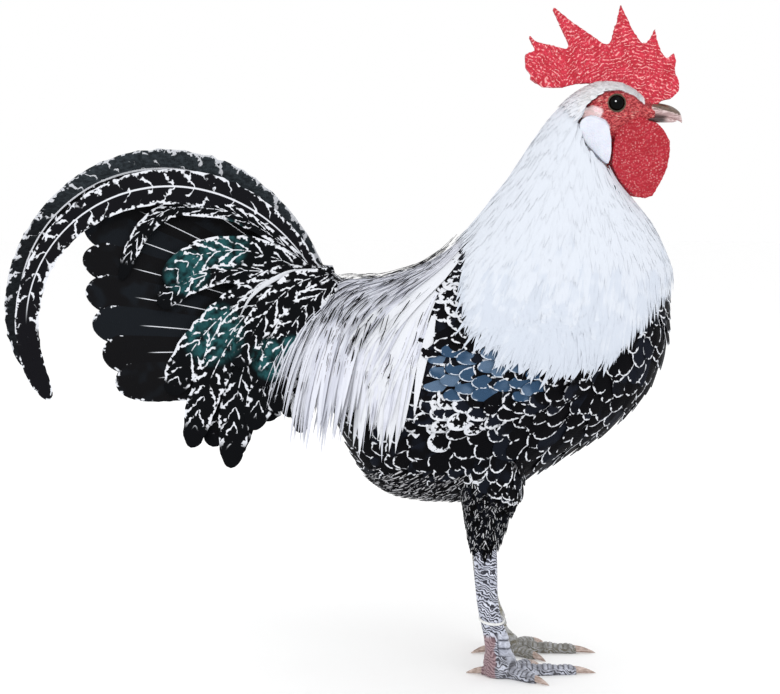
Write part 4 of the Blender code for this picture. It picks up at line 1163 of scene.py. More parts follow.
@dataclass
class Tail:
    """Main tail feathers, the two sickles, their coverts and the small feathers round their roots."""

    seed: int = SEED + 30
    feathers: int = 8
    root_rows: int = 9
    root_count: int = 22
    sickles: dict[str, Plume] = field(default_factory=lambda: {
        "right": Plume((-9.5, 5.2, 188), 65.0, 189.3, 1.162, 246.2, 17.5, 4.5, 12),
        "left": Plume((-9.5, 5.2, 188), 68.9, 185.1, 1.161, 256.6, 20, 4.5, 12),
    })
    black: Plumage = Plumage("tail_black", ground=(0.006, 0.006, 0.0068), shade=(0.009, 0.011, 0.014),
                             shaft=0.016, shaft_start=0.2, shaft_end=0.8, bump=0.03, rough=0.42,
                             lace=0.9, lace_gaps=0.76)
    sickle: Plumage = Plumage("sickle_black", ground=(0.0035, 0.0035, 0.004), shade=(0.007, 0.007, 0.009),
                              upper=(0.05, 0.062, 0.072), shaft=0.05, shaft_end=0.84, bar_gap=10.5,
                              bar_width=1.05, bar_slant=0.7, bar_gaps=0.48, bar_end=0.88, lace=0.7,
                              lace_gaps=0.6, bump=0.04, rough=0.45)
    covert: Plumage = Plumage("covert_teal", ground=(0.0035, 0.004, 0.005), shade=(0.018, 0.085, 0.092),
                              shaft=0.03, shaft_end=0.7, shaft_gaps=0.5, bar_gap=7.4, bar_width=1.02,
                              bar_slant=1.5, bar_gaps=0.4, bar_end=0.92, bump=0.04, rough=0.4,
                              spots=((-64, 169, 15), (-35, 157, 10), (-59, 213, 12), (-77, 199, 11),
                                     (-25, 162, 7)))

    def build_rectrices(self) -> None:
        """Broad main feathers, eight on each side."""
        draw = random.Random(self.seed)
        coat = Coat("tail_rectrices")
        vane = Vane(Outline.BLADE, rows=34, cup=0.06, thickness=0.9, ragged=0.04, bunch=1.7)
        for side in SIDES.values():
            for i in range(self.feathers):
                s = (i - 1) / (self.feathers - 2)
                plume = Plume((-11, 1.8 + 4.2 * s, 181 - 30 * s), 32 - 32 * s + 5 * (i == 0), 10 - 3 * s, 1.0,
                              128 - 26 * max(s, 0) ** 1.5 - 40 * (i == 0), 25, 2 + 5 * s, 7)
                path, outs = plume.spine(side)
                chart = (0.06 + 0.057 * (i + self.feathers * (side > 0)), 0.5)
                coat.add(vane, path, outs, plume.width, chart, draw.random(), cell=(0.05, 0.8),
                         flip=side > 0)
        coat.finish(self.black, "tail_plumage", "tail_fan_right", "tail_fan_left")

    def build_sickles(self) -> None:
        """The two long arched sickles."""
        coat = Coat("tail_sickles")
        vane = Vane(Outline.SICKLE, rows=90, cup=0.1, thickness=0.9, ragged=0.14, bunch=1.15)
        for order, (name, side) in enumerate(SIDES.items()):
            plume = self.sickles[name]
            path, outs = plume.spine(side)
            coat.add(vane, path, outs, plume.width, (0.3 + 0.4 * order, 0.5), 0.9 - 0.8 * order,
                     cell=(0.1, 0.9), flip=side > 0)
        nodes = [f"sickle_{name}_{part}" for name in SIDES for part in ("base", "tip")]
        coat.finish(self.sickle, "tail_plumage", *nodes)

    def build_coverts(self) -> None:
        """Curved coverts over the tail and the hanging ones beside its root."""
        draw = random.Random(self.seed + 1)
        vane = Vane(Outline.BLADE, rows=36, cup=0.12, thickness=0.6, ragged=0.16, bunch=1.4)
        for title, sets in (("upper", UPPER_COVERTS), ("hanging", HANGING_COVERTS)):
            coat = Coat(f"tail_coverts_{title}")
            for side in SIDES.values():
                for i, plume in enumerate(sets):
                    path, outs = plume.spine(side)
                    chart = (0.02 + 0.036 * (i + len(sets) * (side > 0)), 0.5)
                    coat.add(vane, path, outs, plume.width, chart, draw.random(), cell=(0.03, 0.8),
                             flip=side > 0)
                if title == "upper":
                    path, outs = Covert(14.5, 18, 2.6, BOLD_SHAFT).spine(side)
                    coat.add(Vane(Outline.LANCET, 20), path, outs, 2.6, (0.96, 0.5), 0.5, 1.0,
                             cell=(0.01, 0.8))
            nodes = [f"tail_coverts_{title}_{name}" for name in SIDES]
            coat.finish(self.covert, "covert_plumage", *nodes)

    def root_point(self, place: float, turn: float) -> Vector:
        """Point on the cone of small feathers round the tail's root, at a share along it."""
        rise, width = 31 - 14 * place, 21 - 10 * place
        return Vector((2 - 34 * place, -width * sin(turn), 163 + 30 * place + rise * cos(turn))) * MM

    def build_root(self) -> None:
        """Small barred feathers that cover the roots of the tail."""
        draw = random.Random(self.seed + 2)
        vary = draw.uniform
        coat = Coat("tail_root")
        guide = Guide(self.root_point, 0.0, 1.3, 30, 48)
        vane = Vane(Outline.SCALE, rows=8, cup=0.16, thickness=0.35, bunch=1.5)
        for row in range(self.root_rows):
            for i in range(self.root_count):
                place, turn = 0.09 * row, tau * (i + draw.random()) / self.root_count
                root = self.root_point(place, turn)
                level = cos(turn)
                heading = Vector((-1, 0, 0.75 * level - 0.55 * (1 - abs(level)) - 0.5 * (level < 0)))
                path, outs = guide.walk(root, heading, vary(15, 20) * MM, 8, 4.0, underside=-1.1)
                coat.add(vane, lifted(path, outs, -0.8, 2.4), outs, vary(8, 11),
                         (0.1 + 0.8 * turn / tau, 0.03 + 0.1 * row), draw.random(), 0.0,
                         vary(-0.15, 0.15))
        coat.finish(self.covert, "covert_plumage")


def wall(point_at: Callable[[float, float], Vector], rows: int, around: int,
         ends: bool = True) -> Shape:
    """Closed tube from a grid that is wrapped round a form.

    Args:
        point_at: Point at a share along the form and a turn round it in radians.
        rows: Count of steps along.
        around: Count of steps round.
        ends: Whether both ends get a face.

    Returns:
        The shape, with its normals outwards.
    """
    shape = bmesh.new()
    bmesh.ops.create_grid(shape, x_segments=around, y_segments=rows, size=0.5)
    for vert in shape.verts:
        vert.co = point_at(vert.co.y + 0.5, tau * (vert.co.x + 0.5))
    bmesh.ops.remove_doubles(shape, verts=shape.verts, dist=0.00002)
    if ends:
        bmesh.ops.holes_fill(shape, edges=[edge for edge in shape.edges if edge.is_boundary], sides=0)
    bmesh.ops.recalc_face_normals(shape, faces=shape.faces)
    return shape


def ball(middle: Vector, radii: Triple, tilt: float = 0.0,
         segments: int = 32) -> Shape:
    """Ellipsoid tilted about Y.

    Args:
        middle: Its middle in metres.
        radii: Its radii in mm along X, Y and Z before the tilt.
        tilt: The tilt in radians.
        segments: Count of steps round it.

    Returns:
        The shape.
    """
    shape = bmesh.new()
    bmesh.ops.create_uvsphere(shape, u_segments=segments, v_segments=segments // 2, radius=MM)
    bmesh.ops.scale(shape, vec=radii, verts=shape.verts)
    turn_shape(shape, -tilt, "Y")
    bmesh.ops.translate(shape, vec=middle, verts=shape.verts)
    return shape


def turn_shape(shape: Shape, angle: float, axis: str) -> None:
    """Turn a shape about an axis through the origin, by an angle in radians."""
    bmesh.ops.rotate(shape, cent=Vector(), matrix=Matrix.Rotation(angle, 3, axis), verts=shape.verts)


def slab(outline: Sequence[Pair], half_at: Callable[[float, float], float],
         middle_y: float = 0.0) -> Shape:
    """Upright plate from an outline, with a thickness that varies over it.

    Args:
        outline: Corners as x and z in mm.
        half_at: Half thickness in mm at x and z in mm.
        middle_y: Place of its middle across the bird, in mm.

    Returns:
        The shape.
    """
    shape = bmesh.new()
    corners = [shape.verts.new(Vector((x, middle_y, z)) * MM) for x, z in outline]
    shape.faces.new(corners)
    bmesh.ops.triangulate(shape, faces=shape.faces, ngon_method="EAR_CLIP")
    made = bmesh.ops.extrude_face_region(shape, geom=shape.faces[:])
    top = {item for item in made["geom"] if isinstance(item, bmesh.types.BMVert)}
    for vert in shape.verts:
        half = half_at(vert.co.x / MM, vert.co.z / MM) * MM
        vert.co.y = middle_y * MM + (half if vert in top else -half)
    bmesh.ops.recalc_face_normals(shape, faces=shape.faces)
    return shape


def mesh_of(shape: Shape, name: str) -> Mesh:
    """Mesh from a shape, which is freed."""
    mesh = bpy.data.meshes.new(name)
    shape.to_mesh(mesh)
    shape.free()
    return mesh


def evaluated(mesh: Mesh, modifiers: Sequence[tuple[str, dict]]) -> Mesh:
    """Mesh after a row of modifiers.

    Args:
        mesh: The mesh to start from.
        modifiers: Types and settings.

    Returns:
        The new mesh.
    """
    item = put(mesh.name, mesh)
    for kind, settings in modifiers:
        modifier = item.modifiers.new(kind, kind)
        for title, value in settings.items():
            setattr(modifier, title, value)
    graph = bpy.context.evaluated_depsgraph_get()
    result = bpy.data.meshes.new_from_object(item.evaluated_get(graph))
    bpy.data.objects.remove(item)
    return result


def joined(shapes: Sequence[Shape], name: str) -> Mesh:
    """One mesh from several shapes, which are freed."""
    whole = bmesh.new()
    for shape in shapes:
        mesh = mesh_of(shape, "part")
        whole.from_mesh(mesh)
        bpy.data.meshes.remove(mesh)
    return mesh_of(whole, name)


def one_skin(shapes: Sequence[Shape], name: str, voxel: float, smoothing: int) -> Mesh:
    """One closed skin over several overlapping shapes.

    Args:
        shapes: The closed shapes, which are freed.
        name: Name of the mesh.
        voxel: Size of its squares in mm.
        smoothing: Rounds of smoothing.

    Returns:
        The skin.
    """
    skin = evaluated(joined(shapes, "blank"), [
        ("REMESH", {"mode": "VOXEL", "voxel_size": voxel * MM}),
        ("SMOOTH", {"factor": 0.5, "iterations": smoothing}),
    ])
    skin.name = name
    return skin


def combined(mesh: Mesh, others: Sequence[Mesh], operation: str) -> Mesh:
    """Mesh united with others, or cut out by them.

    Args:
        mesh: The mesh to start from.
        others: Closed meshes.
        operation: UNION or DIFFERENCE.

    Returns:
        The new mesh.
    """
    group = bpy.data.collections.new("others")
    bpy.context.scene.collection.children.link(group)
    for other in others:
        group.objects.link(bpy.data.objects.new("other", other))
    result = evaluated(mesh, [("BOOLEAN", {"operation": operation, "solver": "MANIFOLD",
                                           "operand_type": "COLLECTION", "collection": group})])
    for item in list(group.objects):
        bpy.data.objects.remove(item)
    bpy.data.collections.remove(group)
    return result


# Outlines of the bare parts as x and z in mm, the face's upper edge the same way, its rear edge as
# z and x, and the middle of the right eye without its side.
COMB_EDGE: Knots = (
    (157, 283.2), (161.5, 284.2), (165.2, 287.8), (165.8, 292), (163.4, 297.4), (164, 302),
    (163.2, 307), (160.6, 304.2), (158.8, 304), (156.4, 307.6), (154.6, 313), (153.4, 318.3),
    (151.6, 314), (149.4, 311), (147, 311.2), (142.4, 318), (139, 325), (136.5, 330.7),
    (134.1, 318.8), (132.3, 312.6), (130.7, 310.8), (127.9, 311.3), (121.6, 315.7), (111.4, 322.8),
    (103.7, 329), (102.9, 327.8), (108.7, 316.8), (111.2, 311), (110.6, 308.6), (109, 308.6),
    (99.6, 311), (94.9, 312.2), (91.4, 315.7), (94.6, 307.6), (90, 306), (89.6, 302.2),
    (89.9, 299.5), (92.5, 295.7), (92.2, 293.9), (97.9, 290), (107.3, 289.6), (115.5, 291.7),
    (121.7, 291.9), (124.5, 288), (130, 284), (144, 281), (152, 279),
)
WATTLE_EDGE: Knots = (
    (135.8, 268.7), (133.2, 265.8), (131.9, 258.9), (131.5, 251.6), (134.5, 245.3), (138.5, 240.4),
    (143.3, 236.1), (148.4, 235.5), (151.6, 236.4), (155.7, 243.3), (158.5, 250.1), (159.9, 256.5),
    (160.1, 262.8), (157.3, 268.7), (153.4, 272.4), (149.4, 273.1), (145.5, 273.6), (139.7, 271.6),
)
LOBE_EDGE: Knots = (
    (116.0, 273.2), (118.4, 275.0), (121.8, 275.2), (127.2, 272.9), (129.7, 269.6), (130.7, 264.2),
    (130.8, 258.9), (130.2, 254.4), (129.1, 251.9), (127.4, 252.9), (125.5, 254.6), (120.5, 259.4),
    (117.1, 263.3), (115.4, 267.1), (115.1, 271.0),
)
FACE_TOP: Knots = (
    (112.6, 270), (113.5, 273.0), (114.9, 275.5), (120.7, 283.0), (128.0, 287.6), (135.3, 288.4),
    (142.7, 285.4), (147.6, 281.3),
)
FACE_REAR: Knots = (
    (236, 144), (245.3, 136), (252, 130.5), (262, 124), (270, 117), (276, 114.5),
)
EYE: Triple = (133.6, 9.8, 281.8)
EYE_RADIUS = 5.4
EYE_OPENING = 3.75


def eye_middle(side: int) -> Vector:
    """Middle of an eyeball, in metres."""
    return Vector((EYE[0], side * EYE[1], EYE[2])) * MM


def bare_at(x: float, z: float) -> bool:
    """Whether the skin of the head is bare at x and z in mm."""
    if z < 235 or x < 112:
        return False
    if z < 276:
        return x > at_knots(FACE_REAR, z)
    return z < at_knots(FACE_TOP, x) or x > 148


def fold_at(x: float, y: float, z: float) -> float:
    """How high the comb or a wattle swells at a place in mm, from 0 to 1."""
    spot = Vector((x / 3.4, y / 4, z / 2.6))
    line = 1 - min(1.0, abs(noise.noise(spot)) * 2.4)
    pebble = 1 - min(1.0, noise.voronoi(Vector((x, y * 0.6, z)) / 1.5)[0][0] * 1.4)
    return 0.5 * line + 0.5 * pebble


@dataclass
class Skin:
    """One skin for the trunk, the thighs, the neck and the head with its comb, wattles and lobes."""

    voxel: float = 0.56
    body_voxel: float = 1.6
    body_stop: float = 17.5
    head_start: float = 15.5
    folds: Knots = ((146, 262), (70, 268), (141, 276))
    fold_gap: float = 1.9
    lid_radius: float = 4.35
    head_floor: float = 230

    def trunk_shape(self, first: float, last: float, rows: int, around: int) -> Shape:
        """Part of the trunk, neck and head, sunk by the depth of the coat.

        Args:
            first: First place along the body.
            last: Last place.
            rows: Count of steps between them.
            around: Count of steps round the body.

        Returns:
            The shape.
        """
        def point(share: float, turn: float) -> Vector:
            place = first + (last - first) * share
            return BODY.point(place, turn, BODY.skin_inset(place))
        return wall(point, rows, around)

    def thigh_shape(self, name: str, side: int) -> Shape:
        """Upper leg down to the hock."""
        def point(share: float, turn: float) -> Vector:
            z, x, length, y, width = section(THIGH_SECTIONS, share * (len(THIGH_SECTIONS) - 1))
            return Vector((x + LEG_FORWARD[name] + (length - 1) * cos(turn),
                           side * y + (width - 1) * sin(turn), z)) * MM
        return wall(point, 30, 40)

    def comb_shape(self) -> Shape:
        """Single comb, thick along the skull and thin at its five points."""
        def half(x: float, z: float) -> float:
            rise = min(1.0, max(0.0, (z - 289) / 42))
            return 3.2 * (1 - 0.6 * rise ** 0.8)
        return slab(COMB_EDGE, half)

    def wattle_shape(self, side: int) -> Shape:
        """One wattle under the jaw, which leans out from its fellow."""
        shape = slab(WATTLE_EDGE, lambda x, z: 2.7 * ease(-12, 20, z - 240) + 0.9)
        for vert in shape.verts:
            vert.co.y += side * (11.6 - 4.4 * ease(250, 274, vert.co.z / MM)) * MM
        return shape

    def lobe_shape(self, side: int) -> Shape:
        """One flat earlobe like a leaf."""
        return slab(LOBE_EDGE, lambda x, z: 1.8, side * 16.8)

    def tuft_shape(self, side: int) -> Shape:
        """Low swelling of the ear above the lobe."""
        return ball(Vector((122.0, side * 13.6, 276.4)) * MM, (5.4, 2.7, 3.3), 0.25)

    def lid_shape(self, side: int) -> Shape:
        """Raised rim of the lids round one eye."""
        def point(share: float, lean: float) -> Vector:
            turn = tau * share
            radius = self.lid_radius + 0.9 * cos(lean)
            return Vector((EYE[0] + radius * cos(turn), side * (13.7 + 0.9 * sin(lean)),
                           EYE[2] + radius * 0.94 * sin(turn))) * MM
        return wall(point, 48, 12, ends=False)

    def build(self) -> None:
        """The whole skin in its colours."""
        sources = {"comb": [self.comb_shape()]}
        for title, make in (("wattle", self.wattle_shape), ("lobe", self.lobe_shape),
                            ("lid", self.lid_shape), ("tuft", self.tuft_shape)):
            sources[title] = [make(side) for side in SIDES.values()]
        trees = {title: [BVHTree.FromBMesh(shape) for shape in shapes] for title, shapes in sources.items()}
        shapes = [self.trunk_shape(self.head_start, BODY_END, 90, 96)]
        head = one_skin(sum(sources.values(), shapes), "head_skin", self.voxel, 3)
        self.shape_head(head, trees)
        shapes = [self.trunk_shape(0, self.body_stop, 110, 72)]
        shapes += [self.thigh_shape(*item) for item in SIDES.items()]
        body = one_skin(shapes, "body_skin", self.body_voxel, 4)
        sockets = [mesh_of(shape, "socket") for side in SIDES.values() for shape in self.socket_shapes(side)]
        mesh = combined(combined(body, [head], "UNION"), sockets, "DIFFERENCE")
        self.mark(mesh, trees)
        mesh.name = "skin"
        nodes = ["torso", "neck", "head", "comb", "thigh_right", "thigh_left"]
        nodes += [f"{part}_{name}" for part in ("wattle", "earlobe") for name in SIDES]
        seat(dressed(mesh, self.material()), "face_skin", *nodes)

    def socket_shapes(self, side: int) -> list[Shape]:
        """What is cut out for one eye: the eyeball's own room and the opening between the lids."""
        def point(share: float, turn: float) -> Vector:
            radius = EYE_OPENING + 0.5 * share
            return Vector((EYE[0] + radius * cos(turn), side * (11.5 + 7 * share),
                           EYE[2] + radius * 0.96 * sin(turn))) * MM
        return [ball(eye_middle(side), (EYE_RADIUS + 0.08,) * 3, 0, 48), wall(point, 4, 64)]

    def shape_head(self, mesh: Mesh, trees: dict[str, list[BVHTree]]) -> None:
        """Press in the eye hollows and raise the pebbles and folds of the bare skin."""
        normals = [vert.normal.copy() for vert in mesh.vertices]
        for vert, normal in zip(mesh.vertices, normals):
            x, y, z = vert.co / MM
            near = {title: nearest_of(found, vert.co) / MM for title, found in trees.items()}
            eye = hypot(x - EYE[0], z - EYE[2])
            if near["lobe"] < 0.9 or not (bare_at(x, z) or near["comb"] < 1.5):
                continue
            if min(near["comb"], near["wattle"]) < 1.2:
                height = 0.45 * fold_at(x, y, z) - 0.15 + 0.2 * noise.noise(vert.co / (3 * MM))
            else:
                fold = 1 - abs(noise.noise(Vector((x * 0.3, y * 0.2, z * 0.75 + eye * 0.2))))
                height = 0.35 * fold ** 3 + 0.14 * noise.noise(vert.co / (0.8 * MM))
                height -= 0.7 * ease(9.5, 6.5, eye)
                if near["lid"] < 0.6 or near["tuft"] < 0.5:
                    height *= 0.3
            vert.co += normal * height * MM

    def mark(self, mesh: Mesh, trees: dict[str, list[BVHTree]]) -> None:
        """Keep where the skin is feathered, white, comb, lobe, tuft, lid, brow or the comb's rim."""
        table: dict[str, list[float]] = {}
        for vert in mesh.vertices:
            x, y, z = vert.co / MM
            near = {title: nearest_of(found, vert.co) / MM if z > self.head_floor else 9.0
                    for title, found in trees.items()}
            red = min(near["comb"], near["wattle"])
            eye = hypot(x - EYE[0], z - EYE[2])
            brow = at_knots(FACE_TOP, x) - z
            marks = {
                "feathered": not (bare_at(x, z) or red < 1.5 or near["lobe"] < 1.0),
                "white": CAPE_FORM.inside(vert.co, -0.14),
                "comb": ease(1.8, 0.9, red),
                "lobe": ease(1.2, 0.6, near["lobe"]) * ease(13.0, 14.5, abs(y)),
                "tuft": ease(1.0, 0.4, near["tuft"]) * ease(12.0, 13.0, abs(y)),
                "lid": ease(4.75, 4.45, eye) * ease(8, 10, abs(y)),
                "brow": 0.7 * ease(1.3, 0.4, abs(brow - 0.3)) * (x > 114),
                "rim": ease(1.25, 0.6, abs(y)) * (near["comb"] < 1.5),
            }
            for title, value in marks.items():
                table.setdefault(title, []).append(float(value))
        for title, values in table.items():
            keep_number(mesh, title, values)

    def material(self) -> Material:
        """Red folded skin with painted highlights, and painted shade in its folds and wrinkles, a bluish
        white lobe, and the coat's markings under the feathers.
        """
        dye = Recipe("bird_skin", Roughness=0.5, Specular_IOR_Level=0.3, Subsurface_Weight=0.08,
                     Subsurface_Scale=0.001)
        place = dye.place()
        waves = self.waves(dye, place)
        lower = dye.step(dye.axes(place)[2], 0.276, 0.272)
        red = dye.mix(dye.noise(place, 4.5, 3.0), (0.68, 0.032, 0.068), (0.52, 0.014, 0.034))
        red = dye.mix(dye.times(lower, 0.55), red, (0.33, 0.003, 0.01))
        # Darker red in the troughs of the folds, which are the bump's hollows: painted shade.
        red = dye.mix(dye.times(dye.step(waves, -0.4, -0.95), 0.45), red, (0.3, 0.004, 0.014))
        # Pale broken lines on the crests of the folds and pale dots on the pebbles: painted highlights.
        crest_highlight = dye.times(dye.step(waves, 0.45, 0.95), dye.step(dye.noise(place, 1.3, 1.0), 0.42, 0.66),
                          dye.spread(lower, 0.85, 0.12))
        pebble_highlights = dye.times(dye.step(dye.cells(place, 1.25, "F1"), 0.44, 0.16),
                         dye.spread(dye.noise(place, 5.0, 1.0), 0.3, 1.0), dye.spread(lower, 0.4, 0.5))
        comb = dye.mix(dye.most(crest_highlight, pebble_highlights), red, (0.95, 0.46, 0.45))
        comb = dye.mix(dye.times(dye.kept("rim"), 0.7), comb, (0.26, 0.004, 0.014))
        wrinkle = dye.noise(dye.stretched(place, (0.6, 0.6, 1.0)), 0.7, 3.0)
        # The face is dark in the hollows of the wrinkle bump and lighter on its ridges: painted shade.
        face = dye.mix(dye.step(wrinkle, 0.3, 0.75), (0.27, 0.01, 0.018), (0.58, 0.085, 0.09))
        line = dye.step(dye.noise(dye.stretched(place, (0.5, 0.5, 1.6)), 1.1, 1.0), 0.84, 0.95)
        colour = dye.mix(dye.times(line, 0.6), face, (0.8, 0.42, 0.36))
        tuft = dye.mix(dye.noise(place, 0.7), (0.8, 0.5, 0.52), (0.88, 0.74, 0.75))
        lobe = dye.mix(dye.noise(place, 4.0), (0.76, 0.79, 0.88), (0.7, 0.73, 0.83))
        net = dye.step(dye.cells(place, 7.0), 0.02, 0.045)
        plumed = dye.mix(net, (0.3, 0.3, 0.32), (0.008, 0.009, 0.011))
        plumed = dye.mix(dye.kept("white"), plumed, (0.78, 0.79, 0.83))
        for title, layer in (("brow", (0.2, 0.01, 0.02)), ("comb", comb), ("tuft", tuft),
                             ("lid", (0.06, 0.052, 0.032)), ("lobe", lobe), ("feathered", plumed)):
            colour = dye.mix(dye.kept(title), colour, layer)
        dye.colour(colour)
        height = dye.times(waves, 0.9, dye.kept("comb"))
        dye.bump(dye.plus(dye.noise(place, 0.5), wrinkle, height), 0.1)
        return dye.material

    def waves(self, dye: Recipe, place: object) -> Socket:
        """Wavy folds of the comb and the wattles, from -1 to 1, along arcs round a few middles."""
        ahead, _, up = dye.axes(place)
        warp = dye.plus(dye.times(dye.noise(place, 7.0, 1.0), 1.3),
                        dye.times(dye.noise(place, 1.8, 1.0), 0.45))
        waves = []
        for x, z in self.folds:
            phase = dye.plus(dye.math("DIVIDE", dye.side_gap(place, x, z), self.fold_gap * MM), warp)
            waves.append(dye.math("SINE", dye.times(phase, tau)))
        upper, blade, lower = waves
        rear = dye.times(dye.step(ahead, 0.111, 0.106), dye.step(up, 0.313, 0.309))
        return dye.blend(dye.step(up, 0.272, 0.276), lower, dye.blend(rear, upper, blade))


def nearest_of(trees: Sequence[BVHTree], point: Vector) -> float:
    """Distance to the nearest of some search trees, in metres, at most 9 mm."""
    found = [tree.find_nearest(point, 9 * MM)[3] for tree in trees]
    return min((distance for distance in found if distance is not None), default=9 * MM)


@dataclass
class Crown:
    """Tiny cream feathers of the skull behind the comb's base and above the face, and of the ears."""

    seed: int = SEED + 60
    first: float = 21.9
    last: float = 17.0
    stride: float = 0.16
    spacing: float = 0.85
    tufts: int = 150
    cream: Plumage = Plumage("crown_cream", ground=(0.78, 0.785, 0.81), shade=(0.74, 0.52, 0.52), shaded=0.15,
                             rough=0.7, bump=0.01, shaft=0.2, shaft_gaps=0.72, shaft_colour=(0.46, 0.42, 0.4))

    def build(self) -> None:
        """Feathers from the brow back to the cape, and the ear tufts."""
        draw = random.Random(self.seed)
        vary = draw.uniform
        coat = Coat("coat_crown", soft=True, lean=0.3)
        vane = Vane(Outline.LANCET, rows=4, cup=0.1, thickness=0.12)

        def height(place: float) -> float:
            return at_knots(((15, 2.3), (17, 2.2), (18.5, 1.0), (20, 0.1)), place)
        guide = Guide(lambda place, turn: BODY.point(place, turn, -height(place)), 14.5, 22.3, 60, 96)
        place = self.first
        while place > self.last:
            for turn in turn_spread(-178, 178, self.spacing, place, draw):
                root = BODY.point(place + vary(-0.08, 0.08), turn, -height(place))
                x, y, z = root / MM
                if bare_at(x, z) or bare_at(x - 0.6, z - 0.4) or (abs(y) < 2.9 and z > 283) or z < 268:
                    continue
                heading = BODY.point(place - 0.3, turn) - root + DOWN * 0.0004
                size = at_knots(((113, 8.5), (125, 5.0), (140, 3.2), (148, 2.4)), x) * vary(0.8, 1.2)
                path, outs = guide.walk(root, heading, size * MM, 6, 0.0, underside=-1.1)
                rise = at_knots(((113, 0.6), (125, 0.5), (145, 0.4)), x)
                coat.add(vane, lifted(path, outs, -0.1, rise * vary(0.7, 1.2)), outs,
                         vary(0.8, 1.4) * at_knots(((113, 1.6), (140, 0.8)), x), chart_place(place, turn),
                         vary(0, 0.3), 0.97 * (x < 119), vary(-0.2, 0.2) * (x > 119))
            place -= self.stride
        for side in SIDES.values():
            for _ in range(self.tufts):
                reach, turn = draw.random() ** 0.5, vary(0, tau)
                spot = Vector((122 + 5.2 * reach * cos(turn), side * (13.6 + 2.6 * (1 - reach ** 2) ** 0.5),
                               276.4 + 3.1 * reach * sin(turn)))
                out = Vector((0.12 * cos(turn), side, 0.3 * sin(turn))).normalized()
                lie = Vector((-1, 0, vary(-0.5, 0.1))).normalized()
                path = [(spot + lie * 0.7 * k + out * (0.1 + 0.1 * k)) * MM for k in range(5)]
                coat.add(vane, path, [out] * 5, vary(0.5, 0.9), (0.5 + side * 0.2, 0.92), 0.85)
        coat.finish(self.cream, "cape_plumage")


@dataclass
class Eyes:
    """Both eyeballs."""

    radius: float = EYE_RADIUS
    # Place of the painted highlight, in mm from the eye's middle, without its side.
    spark: Triple = (-0.6, 5.3, 0.8)

    def build(self) -> None:
        """Dark brown eyes with a black pupil and a small painted highlight."""
        for name, side in SIDES.items():
            shape = ball(eye_middle(side), (self.radius,) * 3, 0, 64)
            mesh = mesh_of(shape, f"eyeball_{name}")
            seat(dressed(mesh, self.material(name, side)), "eye", f"eye_{name}")

    def material(self, name: str, side: int) -> Material:
        """Iris and pupil as rings round the eye's own axis, with a painted highlight."""
        dye = Recipe(f"eye_{name}", Roughness=0.05, Specular_IOR_Level=0.07)
        inputs = {"Vector": dye.place(), "Location": -eye_middle(side)}
        centred = dye.node("Mapping", inputs).outputs[0]
        ahead, _, up = dye.axes(centred)
        radius = dye.math("SQRT", dye.plus(dye.math("POWER", ahead, 2.0), dye.math("POWER", up, 2.0)))
        iris = dye.mix(dye.noise(centred, 0.5, 3.0), (0.004, 0.002, 0.002), (0.008, 0.004, 0.003))
        colour = dye.mix(dye.step(radius, 0.0028, 0.0032), (0.0008, 0.0008, 0.001), iris)
        # A small pale spot in the colour: a painted highlight, which no lamp makes.
        x, y, z = self.spark
        spark = dye.gap(centred, Vector((x, side * y, z)) * MM)
        dye.colour(dye.mix(dye.step(spark, 0.0005, 0.00025), colour, (0.8, 0.82, 0.85)))
        return dye.material


